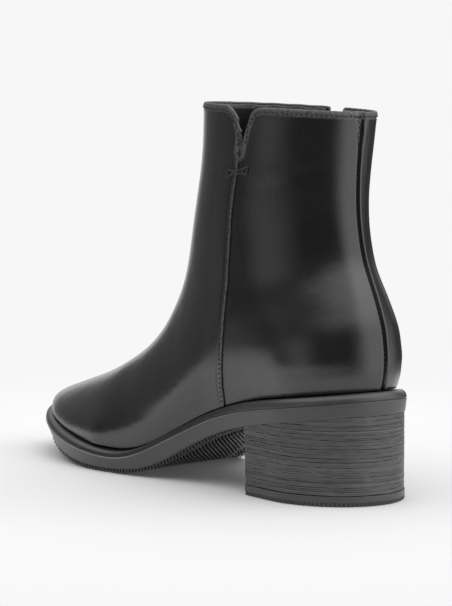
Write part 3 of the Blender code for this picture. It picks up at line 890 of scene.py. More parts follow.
@dataclass(frozen=True)
class WovenTape(Finish):
    """Ribbed zip tape: threads cross its width, with a herringbone turn along it."""

    name: str = "woven_tape"
    dark: Colour = (0.006, 0.006, 0.0065)
    pale: Colour = (0.030, 0.030, 0.032)
    ribs: float = 210.0
    warps: float = 22.0
    herringbone: float = 1.4
    rough: float = 0.82
    relief: float = 0.00018

    def paint(self, shader: Shader) -> None:
        """Adds the weave.

        Args:
            shader: Nodes of the material.
        """
        over, along = shader.across()
        warp = (over * (self.warps * math.tau)).sine()
        rib = (along * (self.ribs * math.tau) + warp * self.herringbone).sine()
        fine = shader.noise(3000.0)
        weave = 0.5 + 0.35 * rib + 0.15 * warp
        shader.colour(weave * 0.7 + fine * 0.3, self.dark, self.pale)
        shader.bump(weave, self.relief)
        shader.set({"Roughness": self.rough + 0.12 * (fine - 0.5), "Sheen Weight": 0.2})


@dataclass(frozen=True)
class Coil(Finish):
    """Satin nylon of the zip's teeth."""

    name: str = "zip_coil"
    dark: Colour = (0.012, 0.012, 0.013)
    pale: Colour = (0.040, 0.040, 0.042)
    rough: float = 0.30
    relief: float = 0.00008

    def paint(self, shader: Shader) -> None:
        """Adds a faint unevenness.

        Args:
            shader: Nodes of the material.
        """
        cloud = shader.noise(500.0)
        shader.colour(cloud, self.dark, self.pale)
        shader.bump(shader.noise(2600.0), self.relief)
        shader.set({"Roughness": self.rough + 0.2 * (cloud - 0.5), "Specular IOR Level": 0.7})


@dataclass(frozen=True)
class DarkMetal(Finish):
    """Dark plated metal, rubbed brighter in places."""

    name: str = "dark_metal"
    dark: Colour = (0.050, 0.050, 0.053)
    pale: Colour = (0.300, 0.300, 0.310)
    rough: float = 0.28
    brush_stretch: Colour = (1.0, 1.0, 0.1)
    relief: float = 0.00003

    def paint(self, shader: Shader) -> None:
        """Adds rubbed places and brush marks.

        Args:
            shader: Nodes of the material.
        """
        rub = shader.noise(380.0, 4.0)
        brush = shader.noise(1500.0, stretch=self.brush_stretch)
        shader.colour(rub.step(0.45, 0.75), self.dark, self.pale)
        shader.bump(brush, self.relief)
        shader.set({"Roughness": self.rough + 0.2 * (rub - 0.5), "Metallic": 1.0})


@dataclass(frozen=True)
class Thread(Finish):
    """Twisted black sewing thread."""

    name: str = "sewing_thread"
    dark: Colour = (0.005, 0.005, 0.0053)
    pale: Colour = (0.022, 0.022, 0.023)
    rough: float = 0.55
    twist_stretch: Colour = (1.0, 1.0, 0.6)
    relief: float = 0.00010

    def paint(self, shader: Shader) -> None:
        """Adds the twist.

        Args:
            shader: Nodes of the material.
        """
        twist = shader.noise(2800.0, stretch=self.twist_stretch)
        shader.colour(twist.step(0.35, 0.65), self.dark, self.pale)
        shader.bump(twist, self.relief)
        shader.set({"Roughness": self.rough + 0.2 * (twist - 0.5)})


@dataclass(frozen=True)
class PaleFloor(Finish):
    """Plain pale table top with a barely uneven tone that fades into the white room around it; it glows
    faintly, a painted fill light that lifts the shadows on it.
    """

    name: str = "pale_floor"
    dark: Colour = (0.72, 0.72, 0.72)
    pale: Colour = (0.73, 0.73, 0.73)
    rough: float = 0.75
    fade: Pair = (0.18, 0.42)
    # Faint glow of the floor, a painted fill light that lifts the shadows on it.
    glow: float = 0.045

    def paint(self, shader: Shader) -> None:
        """Adds the tone, the faint glow that lifts its shadows, and the fade.

        Args:
            shader: Nodes of the material.
        """
        node = shader.add("ShaderNodeVectorMath", {"operation": "LENGTH"}, {0: shader.place()})
        reach = Value(shader, node.outputs["Value"])
        shader.colour(shader.noise(3.0), self.dark, self.pale)
        shader.set({
            "Roughness": self.rough,
            "Specular IOR Level": 0.0,
            "Emission Color": WHITE,
            "Emission Strength": self.glow,
            "Alpha": 1 - reach.step(*self.fade),
        })


class Finishes:
    """Every material of the boot, made once."""

    def __init__(self) -> None:
        """Makes the materials."""
        self.leather = SmoothLeather().make()
        self.edge = CutEdge().make()
        self.lining = Lining().make()
        self.rubber = Rubber().make()
        self.stack = StackedHeel().make()
        self.tape = WovenTape().make()
        self.coil = Coil().make()
        self.metal = DarkMetal().make()
        self.thread = Thread().make()
        self.tack = Thread("tack_thread", (0.020, 0.020, 0.021), (0.095, 0.095, 0.097)).make()


class Bench:
    """Modelling steps that every piece shares."""

    def __init__(self, centre: Points) -> None:
        """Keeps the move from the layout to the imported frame."""
        self.centre = centre

    def rest(self) -> None:
        """Deselects everything."""
        bpy.ops.object.select_all(action="DESELECT")

    def take(self, thing: Thing) -> None:
        """Makes one object the only selected and active one.

        Args:
            thing: The object.
        """
        self.rest()
        thing.select_set(True)
        bpy.context.view_layer.objects.active = thing

    def named(self, name: str) -> Thing:
        """Names the object that an operator has just added.

        Args:
            name: New name of the object and of its mesh.

        Returns:
            The object.
        """
        thing = bpy.context.object
        thing.name = name
        thing.data.name = name
        return thing

    @contextmanager
    def editing(self, thing: Thing) -> Iterator[None]:
        """Edit mode on one object, with all of its mesh selected.

        Args:
            thing: The object.

        Yields:
            Nothing.
        """
        self.take(thing)
        bpy.ops.object.mode_set(mode="EDIT")
        bpy.ops.mesh.select_all(action="SELECT")
        yield
        bpy.ops.object.mode_set(mode="OBJECT")

    def sheet(
        self, name: str, points: Points, wrap: bool = False, keep: Points | None = None,
        paint: dict[str, Points] | None = None,
    ) -> Thing:
        """Grid primitive whose vertices are moved to an array of places.

        Args:
            name: Name of the piece.
            points: Rows by columns of places in millimetres; columns cross rows to face outwards.
            wrap: Whether the last column joins the first.
            keep: Which faces stay, rows by columns, or None for all.
            paint: Values of float attributes, rows by columns.

        Returns:
            The sheet.
        """
        layers = paint or {}
        if wrap:
            points = np.concatenate([points, points[:, :1]], axis=1)
            layers = {layer: np.concatenate([tone, tone[:, :1]], axis=1) for layer, tone in layers.items()}
        rows, columns = points.shape[:2]
        self.rest()
        bpy.ops.mesh.primitive_grid_add(x_subdivisions=columns - 1, y_subdivisions=rows - 1, size=1.0)
        thing = self.named(name)
        mesh = thing.data
        flat = np.empty(len(mesh.vertices) * 3)
        mesh.vertices.foreach_get("co", flat)
        column = np.rint((flat[0::3] + 0.5) * (columns - 1)).astype(int)
        row = np.rint((flat[1::3] + 0.5) * (rows - 1)).astype(int)
        mesh.vertices.foreach_set("co", ((points[row, column] + self.centre) * MM).ravel())
        for layer, tone in layers.items():
            mesh.attributes.new(layer, "FLOAT", "POINT").data.foreach_set("value", tone[row, column])
        if keep is not None:
            corners = np.empty(len(mesh.loops), int)
            mesh.loops.foreach_get("vertex_index", corners)
            corners = corners.reshape(-1, 4)
            self.drop_faces(thing, ~keep[row[corners].min(1), column[corners].min(1)])
        self.weld(thing)
        return thing

    def drop_faces(self, thing: Thing, gone: Points) -> None:
        """Deletes faces.

        Args:
            thing: The piece.
            gone: Which faces go, in the mesh's order.
        """
        bpy.context.tool_settings.mesh_select_mode = (False, False, True)
        with self.editing(thing):
            bpy.ops.mesh.select_all(action="DESELECT")
        thing.data.polygons.foreach_set("select", gone)
        bpy.ops.object.mode_set(mode="EDIT")
        bpy.ops.mesh.delete(type="FACE")
        bpy.ops.object.mode_set(mode="OBJECT")

    def weld(
        self, thing: Thing, reach: float = 0.004, fill: bool = False, turn: bool = False,
    ) -> None:
        """Merges doubles, then closes holes and turns faces outwards where asked.

        Args:
            thing: The piece.
            reach: Merge distance in millimetres.
            fill: Whether open loops are filled.
            turn: Whether normals are recalculated.
        """
        with self.editing(thing):
            bpy.ops.mesh.remove_doubles(threshold=reach * MM)
            if fill:
                bpy.ops.mesh.fill_holes(sides=0)
                bpy.ops.mesh.select_all(action="SELECT")
            if turn:
                bpy.ops.mesh.normals_make_consistent(inside=False)

    def join(self, name: str, things: Sequence[Thing]) -> Thing:
        """Joins objects into the first one, under a new name.

        Args:
            name: Name of the piece.
            things: Objects to join.

        Returns:
            The piece.
        """
        self.take(things[0])
        for thing in things[1:]:
            thing.select_set(True)
        bpy.ops.object.join()
        return self.named(name)

    def modify(self, thing: Thing, kind: str, settings: dict[str, Any]) -> None:
        """Adds a modifier with settings and applies it.

        Args:
            thing: The piece.
            kind: Modifier type.
            settings: Its properties.
        """
        self.take(thing)
        modifier = thing.modifiers.new(kind.lower(), kind)
        for name, value in settings.items():
            setattr(modifier, name, value)
        bpy.ops.object.modifier_apply(modifier=modifier.name)

    def smooth(self, thing: Thing, angle: float) -> None:
        """Smooth shading, sharp past an angle in degrees."""
        self.take(thing)
        bpy.ops.object.shade_smooth_by_angle(angle=math.radians(angle))

    def tube(
        self, name: str, path: Points, radii: Points, normals: Points, sections: int = 10,
    ) -> Thing:
        """Round bead along a path, with closed ends.

        Args:
            name: Name of the piece.
            path: Points of the path.
            radii: Radius at each point.
            normals: Way out of the surface at each point.
            sections: Faces round the bead.

        Returns:
            The bead.
        """
        along = unit(np.gradient(path, axis=0))
        side = unit(np.cross(along, normals))
        out = np.cross(side, along)
        turn = np.linspace(0, math.tau, sections, endpoint=False)
        ring = side[:, None] * np.cos(turn)[None, :, None] + out[:, None] * np.sin(turn)[None, :, None]
        thing = self.sheet(name, path[:, None] + ring * radii[:, None, None], wrap=True)
        self.weld(thing, fill=True, turn=True)
        self.smooth(thing, SMALL_ANGLE)
        return thing

    def stamped(self, name: str, model: Thing, places: Points, frames: Points) -> Thing:
        """Copies of one small model, joined in one mesh; the model is used up.

        Args:
            name: Name of the piece.
            model: The model, in metres about the origin.
            places: Place of each copy in millimetres.
            frames: Three axes of each copy, as rows.

        Returns:
            The joined piece.
        """
        mesh = model.data
        base = np.empty(len(mesh.vertices) * 3)
        mesh.vertices.foreach_get("co", base)
        base = base.reshape(-1, 3)
        # A primitive numbers its corners and faces in another order each run, so they are sorted by place.
        order = np.lexsort(base.round(9).T)
        base, rank = base[order], np.argsort(order)
        faces = sorted(tuple(rank[list(face.vertices)].tolist()) for face in mesh.polygons)
        moved = np.einsum("vk,nkj->nvj", base, frames) + ((places + self.centre) * MM)[:, None]
        step = len(base)
        every = [tuple(v + n * step for v in face) for n in range(len(places)) for face in faces]
        bpy.data.objects.remove(model)
        thing = self.meshed(name, moved.reshape(-1, 3) / MM - self.centre, every)
        self.smooth(thing, SMALL_ANGLE)
        return thing

    def meshed(self, name: str, points: Points, faces: list[tuple[int, ...]]) -> Thing:
        """Piece from places and faces.

        Args:
            name: Name of the piece.
            points: Places in millimetres.
            faces: Corners of each face.

        Returns:
            The piece.
        """
        mesh = bpy.data.meshes.new(name)
        mesh.from_pydata(((points + self.centre) * MM).tolist(), [], faces)
        thing = bpy.data.objects.new(name, mesh)
        bpy.context.scene.collection.objects.link(thing)
        return thing

    def snapped(self, skin: Thing, places: Points) -> tuple[Points, Points]:
        """Nearest places on a piece.

        Args:
            skin: The piece.
            places: Places near it, in millimetres.

        Returns:
            Places on the piece and the ways out of it there.
        """
        found = [skin.closest_point_on_mesh(Vector((place + self.centre) * MM)) for place in places]
        spots = np.array([hit[1] for hit in found]) / MM - self.centre
        return spots, np.array([hit[2] for hit in found])

    def copied(self, name: str, node: Thing) -> Thing:
        """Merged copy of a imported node's mesh, ready for bevels.

        Args:
            name: Name of the piece.
            node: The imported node.

        Returns:
            The copy.
        """
        mesh = node.data.copy()
        mesh.name = name
        mesh.materials.clear()
        thing = bpy.data.objects.new(name, mesh)
        bpy.context.scene.collection.objects.link(thing)
        self.weld(thing, 0.002)
        with self.editing(thing):
            bpy.ops.mesh.dissolve_limited(angle_limit=math.radians(2.0))
        return thing

    def dress(
        self, thing: Thing, body: Body, slot: str, *materials: Material,
        angle: float | None = None, node: str | None = None,
    ) -> None:
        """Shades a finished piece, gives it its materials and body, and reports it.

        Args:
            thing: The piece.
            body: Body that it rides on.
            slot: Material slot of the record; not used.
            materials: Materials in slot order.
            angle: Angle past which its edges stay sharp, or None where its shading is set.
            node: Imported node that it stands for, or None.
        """
        if angle is not None:
            self.smooth(thing, angle)
        thing.data.materials.clear()
        for material in materials:
            thing.data.materials.append(material)
        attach(thing, body.value)
        if node is not None:
            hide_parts(node)
        LOG.info("%s: %d faces on %s", thing.name, len(thing.data.polygons), body.value)


@dataclass
class StitchModel:
    """One stitch: a short fat thread that dips into the leather at both ends."""

    length: float = 1.6
    radius: float = 0.33
    flat: float = 0.85
    dip: float = 0.20
    blunt: float = 0.6

    def make(self, bench: Bench) -> Thing:
        """Models the stitch along X, with Z out of the leather.

        Args:
            bench: Shared modelling steps.

        Returns:
            The stitch, in metres about the origin.
        """
        bench.rest()
        bpy.ops.mesh.primitive_uv_sphere_add(segments=8, ring_count=6, radius=1.0)
        thing = bench.named("stitch")
        for vertex in thing.data.vertices:
            x, y, z = vertex.co
            reach = math.copysign(abs(x) ** self.blunt, x)
            vertex.co = (
                reach * self.length / 2 * MM,
                y * self.radius * MM,
                (z * self.radius * self.flat - self.dip * reach * reach) * MM,
            )
        return thing


@dataclass
class Upper:
    """Leather upper: shell, folded edges, stitches and the bar tack at the notch."""

    bench: Bench
    sole: SoleForm
    last: LastForm
    finishes: Finishes
    wall: float = 2.0
    seat_gap: float = 0.4
    foot_tuck: float = 0.8
    foot_levels: Row = (0.0, 0.0025, 0.006)
    level_gaps: Pair = (0.009, 0.003)
    rows: int = 92
    back_columns: int = 30
    front_columns: int = 62
    inner_columns: int = 62
    inner_back_columns: int = 30
    seam_reach: float = 17.0
    seam_fine: float = 0.55
    seam_fine_end: float = 8.0
    seam_wide: Row = (8.6, 9.4, 10.4, 11.6, 13.0, 14.6)
    seam_under: float = 0.16
    seam_step: float = 0.75
    seam_fade: float = 16.0
    back_shift: float = 3.9
    groove_columns: Row = (0.0, 0.5, 0.95, 1.35, 1.9, 2.8, 4.2)
    groove_depth: float = 1.6
    groove_half: float = 1.25
    groove_flare: float = 0.9
    flare_heights: Pair = (156.0, 177.0)
    ridge_rise: float = 0.30
    ridge_place: float = 1.7
    ridge_half: float = 0.7
    notch_reach: float = 34.0
    notch_steps: int = 40
    slot_half: float = 5.2
    slot_low: float = 70.0
    slot_round: float = 14.0
    slot_end: float = 0.3
    slot_lips: Row = (1.4, 0.5, 0.0)
    slot_margin: float = 3.0
    edge_radius: float = 0.7
    edge_tip: float = 0.25
    edge_proud: float = 0.12
    edge_pitch: float = 0.9
    lap_radius: float = 0.52
    lap_blend: Pair = (-6.0, 1.0)
    lap_flat: float = 0.4
    lap_band: float = 0.5
    fold_band: float = 3.1
    fold_soft: Pair = (-0.35, 0.30)
    fold_rows: Row = (0.0, 0.25, 0.5, 0.85, 1.3, 1.8, 2.2, 2.6, 3.0, 3.5, 4.2, 5.2)
    valley_depth: float = 0.22
    valley_place: float = 2.2
    stitch_inset: float = 2.6
    stitch_pitch: float = 2.45
    back_pitch: float = 2.3
    back_twist: float = 1.35
    back_lift: float = 0.45
    back_margin: int = 4
    tack_height: float = 148.8
    tack_half: Pair = (6.3, 1.8)
    tack_waist: Pair = (1.2, 0.7)
    tack_bar: float = 0.5
    tack_past: float = 0.3
    tack_thread: float = 0.28
    tack_lift: Pair = (0.05, 0.35)
    tack_points: int = 15

    def __post_init__(self) -> None:
        """Works out the levels that the notch and the slot start from."""
        last = self.last
        self.slot_level = last.level_at(self.slot_low, Side.INNER, last.zip)
        self.collar_z = float(last.points(1.0, Side.OUTER, last.crossing(1.0, Side.OUTER, last.seam))[0, 2])
        self.reach_level = last.level_at(self.collar_z - self.notch_reach, Side.OUTER, last.seam)
        self.notch_drop, self.notch_front, self.notch_rear = np.asarray(NOTCH, float)[::-1].T
        self.notch_low = self.collar_z - self.notch_drop.max()
        fine = np.arange(self.seam_fine, self.seam_fine_end, self.seam_fine)
        ahead = np.concatenate([fine, self.seam_wide, [self.seam_reach]])
        self.seam_columns = np.concatenate([-ahead[::-1], [-self.seam_under, 0.0], ahead])

    def slot_width(self, height: float) -> float:
        """Half width of the zip's slot at a height, with a round lower end."""
        half = self.slot_half * float(round_end(height - self.slot_low, self.slot_round, 2.0))
        return max(half, self.slot_half * self.slot_end)

    def drop(self, offset: Points) -> Points:
        """How far the collar's edge drops beside the side seam.

        Args:
            offset: Distances from the seam; the front is positive.

        Returns:
            Drops.
        """
        front = np.interp(offset, self.notch_front, self.notch_drop)
        rear = np.interp(-offset, self.notch_rear, self.notch_drop)
        return np.where(offset >= 0, front, rear)

    def levels(self) -> Points:
        """Levels of the rows, crowded at the collar and with one at the slot's lower end.

        Returns:
            Growing levels from 0 to 1.
        """
        even = np.linspace(0, 1, self.rows + 1)
        even[np.argmin(np.abs(even - self.slot_level))] = self.slot_level
        ends = [self.last.points(level, Side.OUTER, np.zeros(1))[0] for level in (0.99, 1.0)]
        top = 1 - np.array(self.fold_rows[::-1]) * 0.01 / np.linalg.norm(ends[1] - ends[0])
        middle = even[(even > self.level_gaps[0]) & (even < top[0] - self.level_gaps[1])]
        return np.concatenate([self.foot_levels, middle, top])

    def outer_runs(self, level: float) -> tuple[Points, float]:
        """Columns of the outer side at a level.

        Args:
            level: The row's level.

        Returns:
            Runs from the back seam to the front, and the side seam's run.
        """
        seam = self.last.crossing(level, Side.OUTER, self.last.seam)
        groove = np.array(self.groove_columns) - self.back_shift
        back = np.linspace(groove[-1], seam - self.seam_reach, self.back_columns + 1)[1:-1]
        end = self.last.length(level, Side.OUTER)
        front = np.linspace(seam + self.seam_reach, end, self.front_columns + 1)[1:]
        return np.concatenate([groove, back, seam + self.seam_columns, front]), seam

    def inner_runs(self, level: float) -> Points:
        """Columns of the inner side at a level.

        Args:
            level: The row's level.

        Returns:
            Runs from the front round to the back seam.
        """
        line = self.last.crossing(level, Side.INNER, self.last.zip)
        half = self.slot_width(float(self.last.points(level, Side.INNER, line)[0, 2]))
        lips = half + np.array(self.slot_lips)
        margin = half + self.slot_margin
        groove = np.array(self.groove_columns[:0:-1]) + self.back_shift
        front = np.linspace(self.last.length(level, Side.INNER), line + margin, self.inner_columns + 1)[1:]
        slot = line + np.concatenate([lips, [0.0], -lips[::-1]])
        back = np.linspace(line - margin, groove[0], self.inner_back_columns + 1)[:-1]
        return np.concatenate([front, slot, back, groove])

    def grid(self) -> None:
        """Places every vertex of the outer face, with seams and creases, and keeps its normals."""
        levels = self.levels()
        steps = np.linspace(self.reach_level, 1.0, self.notch_steps)
        seams = [self.last.crossing(level, Side.OUTER, self.last.seam) for level in steps]
        rows, offsets = [], []
        for level in levels:
            runs, seam = self.outer_runs(level)
            if level > self.reach_level:
                share = self.drop(runs - seam) / self.notch_reach
                lowered = self.reach_level + (level - self.reach_level) * (1 - share)
                moved = runs + np.interp(lowered, steps, seams) - np.interp(level, steps, seams)
                outer = [self.last.points(v, Side.OUTER, run)[0] for v, run in zip(lowered, moved)]
            else:
                outer = self.last.points(level, Side.OUTER, runs)
            inner = self.last.points(level, Side.INNER, self.inner_runs(level))
            rows.append(np.concatenate([outer, inner]))
            offsets.append(np.concatenate([runs - seam, np.full(len(inner), FAR)]))
        self.points = np.array(rows)
        self.offsets = np.array(offsets)
        outer_count = len(runs)
        before_seam = len(self.groove_columns) + self.back_columns - 1
        self.slot_column = outer_count + self.inner_columns + 2
        self.slot_row = int(np.argmin(np.abs(levels - self.slot_level)))
        self.seam_column = before_seam + int(np.argmin(np.abs(self.seam_columns)))
        self.side = np.where(np.arange(self.points.shape[1]) < outer_count, Side.OUTER, Side.INNER)
        self.relief()

    def normals(self) -> Points:
        """Outward unit normals of the grid."""
        across = np.roll(self.points, -1, 1) - np.roll(self.points, 1, 1)
        return -unit(np.cross(across, np.gradient(self.points, axis=0)))

    def from_edges(self) -> Points:
        """How far every vertex stands from the free edges of its own panel.

        Returns:
            Distances, rows by columns.
        """
        columns = np.arange(self.points.shape[1])
        ahead = (columns >= self.seam_column) & (columns <= self.slot_column + 1)
        apart = np.zeros(self.points.shape[:2])
        for (path, _), mine in zip(self.edges().values(), (ahead, ~ahead)):
            line = picked(path, resampled(path, 0.4))
            tree = kdtree.KDTree(len(line))
            for n, place in enumerate(line):
                tree.insert(place, n)
            tree.balance()
            for column in columns[mine]:
                apart[:, column] = [tree.find(place)[2] for place in self.points[:, column]]
        return apart

    def folds(self) -> Points:
        """Folded edges: round at the edge, full behind it and drawn in along the stitches.

        Returns:
            Rises along the normals, rows by columns.
        """
        apart = self.from_edges()
        outer = np.where(self.side == Side.OUTER, 1.0, 0.0)[None, :]
        start, end = (self.notch_low + more for more in self.lap_blend)
        lapped = outer * (1 - smooth_step(start, end, self.points[..., 2]))
        band = self.fold_band + (self.lap_band - self.fold_band) * lapped
        self.fold = 1 - smooth_step(*self.fold_soft, apart - band)
        valley = -self.valley_depth * np.exp(-(apart - self.valley_place) ** 2) * lapped
        return np.interp(apart, *FOLD_PROFILE) * (1 - self.lap_flat * lapped) + valley

    def back_groove(self) -> Points:
        """Groove of the back seam, wider at the collar, with a low ridge on either side.

        Returns:
            Rises along the normals, rows by columns.
        """
        count = self.points.shape[1]
        reach = np.full(count, FAR)
        for n, run in enumerate(self.groove_columns):
            reach[n] = reach[-n % count] = run
        flare = smooth_step(*self.flare_heights, self.points[..., 2])
        half = self.groove_half * (1 + self.groove_flare * flare)
        groove = -self.groove_depth * (1 - smooth_step(0.45, 1.0, reach / half))
        ridge = np.exp(-((reach - self.ridge_place * half) / self.ridge_half) ** 2)
        return groove + self.ridge_rise * ridge

    def relief(self) -> None:
        """Adds the folds, the front panel's lap, the back seam's groove and the creases along the normals."""
        normal = self.out = self.normals()
        ahead = self.offsets >= -1e-6
        lap = self.seam_step * np.clip(1 - self.offsets / self.seam_fade, 0, 1) * ahead
        rise = lap + self.back_groove() + self.folds()
        place = self.points[..., [0, 2]]
        for row in CREASES:
            crease = dict(zip(CREASE_COLUMNS, row))
            start = np.array([crease["x0"], crease["z0"]])
            way = np.array([crease["x1"], crease["z1"]]) - start
            share = np.clip((place - start) @ way / (way @ way), 0, 1)
            off = np.linalg.norm(place - start - share[..., None] * way, axis=-1)
            soft = np.exp(-(off / crease["width"]) ** 2)
            rise = rise + np.where(self.side == crease["side"], crease["rise"] * soft, 0.0)
        self.points = self.points + normal * rise[..., None]
        self.points[0] -= normal[0] * self.foot_tuck
        self.points[0, :, 2] = self.sole.height("rim_top", self.points[0, :, 0], self.side) + self.seat_gap
        self.out = self.normals()

    def shell(self) -> None:
        """Hollow leather shell with notch and slot; its inside is the lining and its rim the cut edge."""
        keep = np.ones((self.points.shape[0] - 1, self.points.shape[1]), bool)
        keep[self.slot_row:, self.slot_column:self.slot_column + 2] = False
        turned = np.concatenate([keep[:, -2::-1], keep[:, -1:]], axis=1)
        thing = self.bench.sheet(
            "upper_shell", self.points[:, ::-1], True, turned, {"fold": self.fold[:, ::-1]},
        )
        materials = (self.finishes.leather, self.finishes.lining, self.finishes.edge)
        for material in materials:
            thing.data.materials.append(material)
        self.bench.modify(thing, "SOLIDIFY", {
            "thickness": self.wall * MM, "offset": -1.0, "material_offset": 1, "material_offset_rim": 2,
        })
        self.bench.dress(thing, Body.BOOT, "leather", *materials, angle=42.0, node="upper")
        self.skin = thing

    def edges(self) -> dict[str, tuple[Points, Points]]:
        """Free edges of the panels.

        Returns:
            Paths and their normals: the front panel's and the rear quarters'.
        """
        top = self.points.shape[0] - 1
        count = self.points.shape[1]
        slot, seam = self.slot_column, self.seam_column
        front = [(row, slot) for row in range(self.slot_row, top)]
        front += [(top, column) for column in range(slot, seam, -1)]
        front += [(row, seam) for row in range(top, 1, -1)]
        rear = [(top, column) for column in range(seam - 1, -1, -1)]
        rear += [(top, column) for column in range(count - 1, slot + 2, -1)]
        rear += [(row, slot + 2) for row in range(top, self.slot_row, -1)]
        found = {}
        for name, cells in (("front", front), ("rear", rear)):
            row, column = np.array(cells).T
            path, out = self.points[row, column], self.out[row, column]
            apart = np.concatenate([[True], np.linalg.norm(np.diff(path, axis=0), axis=1) > 0.12])
            found[name] = path[apart], out[apart]
        return found

    def beads(self) -> None:
        """Folded edges along the collar, the notch, the side seam and the slot."""
        for name, (path, out) in self.edges().items():
            index = resampled(path, self.edge_pitch)
            line, normal = picked(path, index), unit(picked(out, index))
            for _ in range(2):
                line[1:-1] = (line[:-2] + 2 * line[1:-1] + line[2:]) / 4
            radii = np.full(len(line), self.edge_radius)
            radii[0] = radii[-1] = self.edge_tip
            if name == "front":
                radii = np.where((line[:, 2] < self.notch_low) & (line[:, 1] > 0), self.lap_radius, radii)
            depth = radii - self.edge_proud
            thing = self.bench.tube(f"{name}_edge", line - normal * depth[:, None], radii, normal)
            self.bench.dress(thing, Body.BOOT, "leather", self.finishes.edge)

    def stitch_row(
        self, path: Points, pitch: float, twist: float = 0.0, lift: float = 0.10,
    ) -> tuple[Points, Points]:
        """Places and axes of a row of stitches.

        Args:
            path: Points of the row, near the leather's face.
            pitch: Distance between stitches.
            twist: Turn of every other stitch to either side, in radians.
            lift: How far the stitches stand off the face.

        Returns:
            Places and frames.
        """
        index = resampled(path, pitch)
        places, normal = self.bench.snapped(self.skin, picked(path, index))
        along = unit(picked(np.gradient(path, axis=0), index))
        side = unit(np.cross(normal, along))
        along = np.cross(side, normal)
        sign = np.where(np.arange(len(index)) % 2, twist, -twist)[:, None]
        ahead = along * np.cos(sign) + side * np.sin(sign)
        frames = np.stack([ahead, np.cross(normal, ahead), normal], 1)
        return places + normal * lift, frames

    def stitches(self) -> None:
        """Rows of stitches beside the free edges, down the side seam and in the back seam."""
        rows = []
        for path, out in self.edges().values():
            along = unit(np.gradient(path, axis=0))
            line = path + unit(np.cross(along, out)) * self.stitch_inset
            rows.append(self.stitch_row(line, self.stitch_pitch))
        back = self.points[self.back_margin:-self.back_margin, 0]
        rows.append(self.stitch_row(back, self.back_pitch, self.back_twist, self.back_lift))
        places, frames = (np.concatenate(part) for part in zip(*rows))
        thing = self.bench.stamped("seam_stitches", StitchModel().make(self.bench), places, frames)
        self.bench.dress(thing, Body.BOOT, "leather", self.finishes.thread)

    def spot(self, offset: float, height: float) -> Points:
        """Point near the outer face beside the side seam.

        Args:
            offset: Distance from the seam; the front is positive.
            height: Height of the seam there.

        Returns:
            The point.
        """
        last = self.last
        level = last.level_at(height, Side.OUTER, last.seam)
        seam = last.crossing(level, Side.OUTER, last.seam)
        here = last.points(level, Side.OUTER, seam + np.array([offset - 1, offset, offset + 1]))
        above = last.points(level + 0.01, Side.OUTER, seam + offset)[0]
        out = unit(np.cross(above - here[1], here[2] - here[0]))
        lap = self.seam_step * max(0.0, 1 - offset / self.seam_fade) if offset >= 0 else 0.0
        return here[1] + out * lap

    def tack_lines(self) -> list[tuple[Pair, Pair]]:
        """Threads of the bar tack: crossed like a bow tie, with a bar at each end and one in the middle.

        Returns:
            Start and end of each thread, as offset and rise from the tack's middle.
        """
        wide, tall = self.tack_half
        waist, slim = self.tack_waist
        end = tall + self.tack_past
        lines = []
        for way in (-1, 1):
            lines += [((-wide, way * tall), (-waist, way * slim)), ((waist, way * slim), (wide, way * tall))]
            lines += [((-waist, way * 0.8), (wide * 0.8, -way * tall * 0.7))]
            lines += [((-wide * 0.8, way * tall * 0.95), (-wide * 0.45, -way * tall * 0.4))]
            bars = (way * wide - self.tack_bar, way * wide + self.tack_bar)
            lines += [((bar, -end), (bar, end)) for bar in bars]
            lines += [((way * self.tack_bar, -waist), (way * self.tack_bar, waist))]
        return lines

    def tack(self) -> None:
        """Bar tack below the notch."""
        share = np.linspace(0, 1, self.tack_points)
        low, more = self.tack_lift
        lift = low + more * np.sin(math.pi * share) ** 0.4
        threads = []
        for n, ends in enumerate(self.tack_lines()):
            start, end = np.array(ends) + (0.0, self.tack_height)
            near = [self.spot(*(start + (end - start) * s)) for s in share]
            spots, out = self.bench.snapped(self.skin, np.array(near))
            for _ in range(3):
                out[1:-1] = unit(out[:-2] + out[1:-1] + out[2:])
            line = spots + out * lift[:, None]
            radii = np.full(len(line), self.tack_thread)
            threads.append(self.bench.tube(f"tack_{n}", line, radii, out, 6))
        thing = self.bench.join("bar_tack", threads)
        self.bench.dress(thing, Body.BOOT, "leather", self.finishes.tack)

    def build(self) -> None:
        """Builds the upper's pieces in order."""
        self.grid()
        self.shell()
        self.beads()
        self.stitches()
        self.tack()


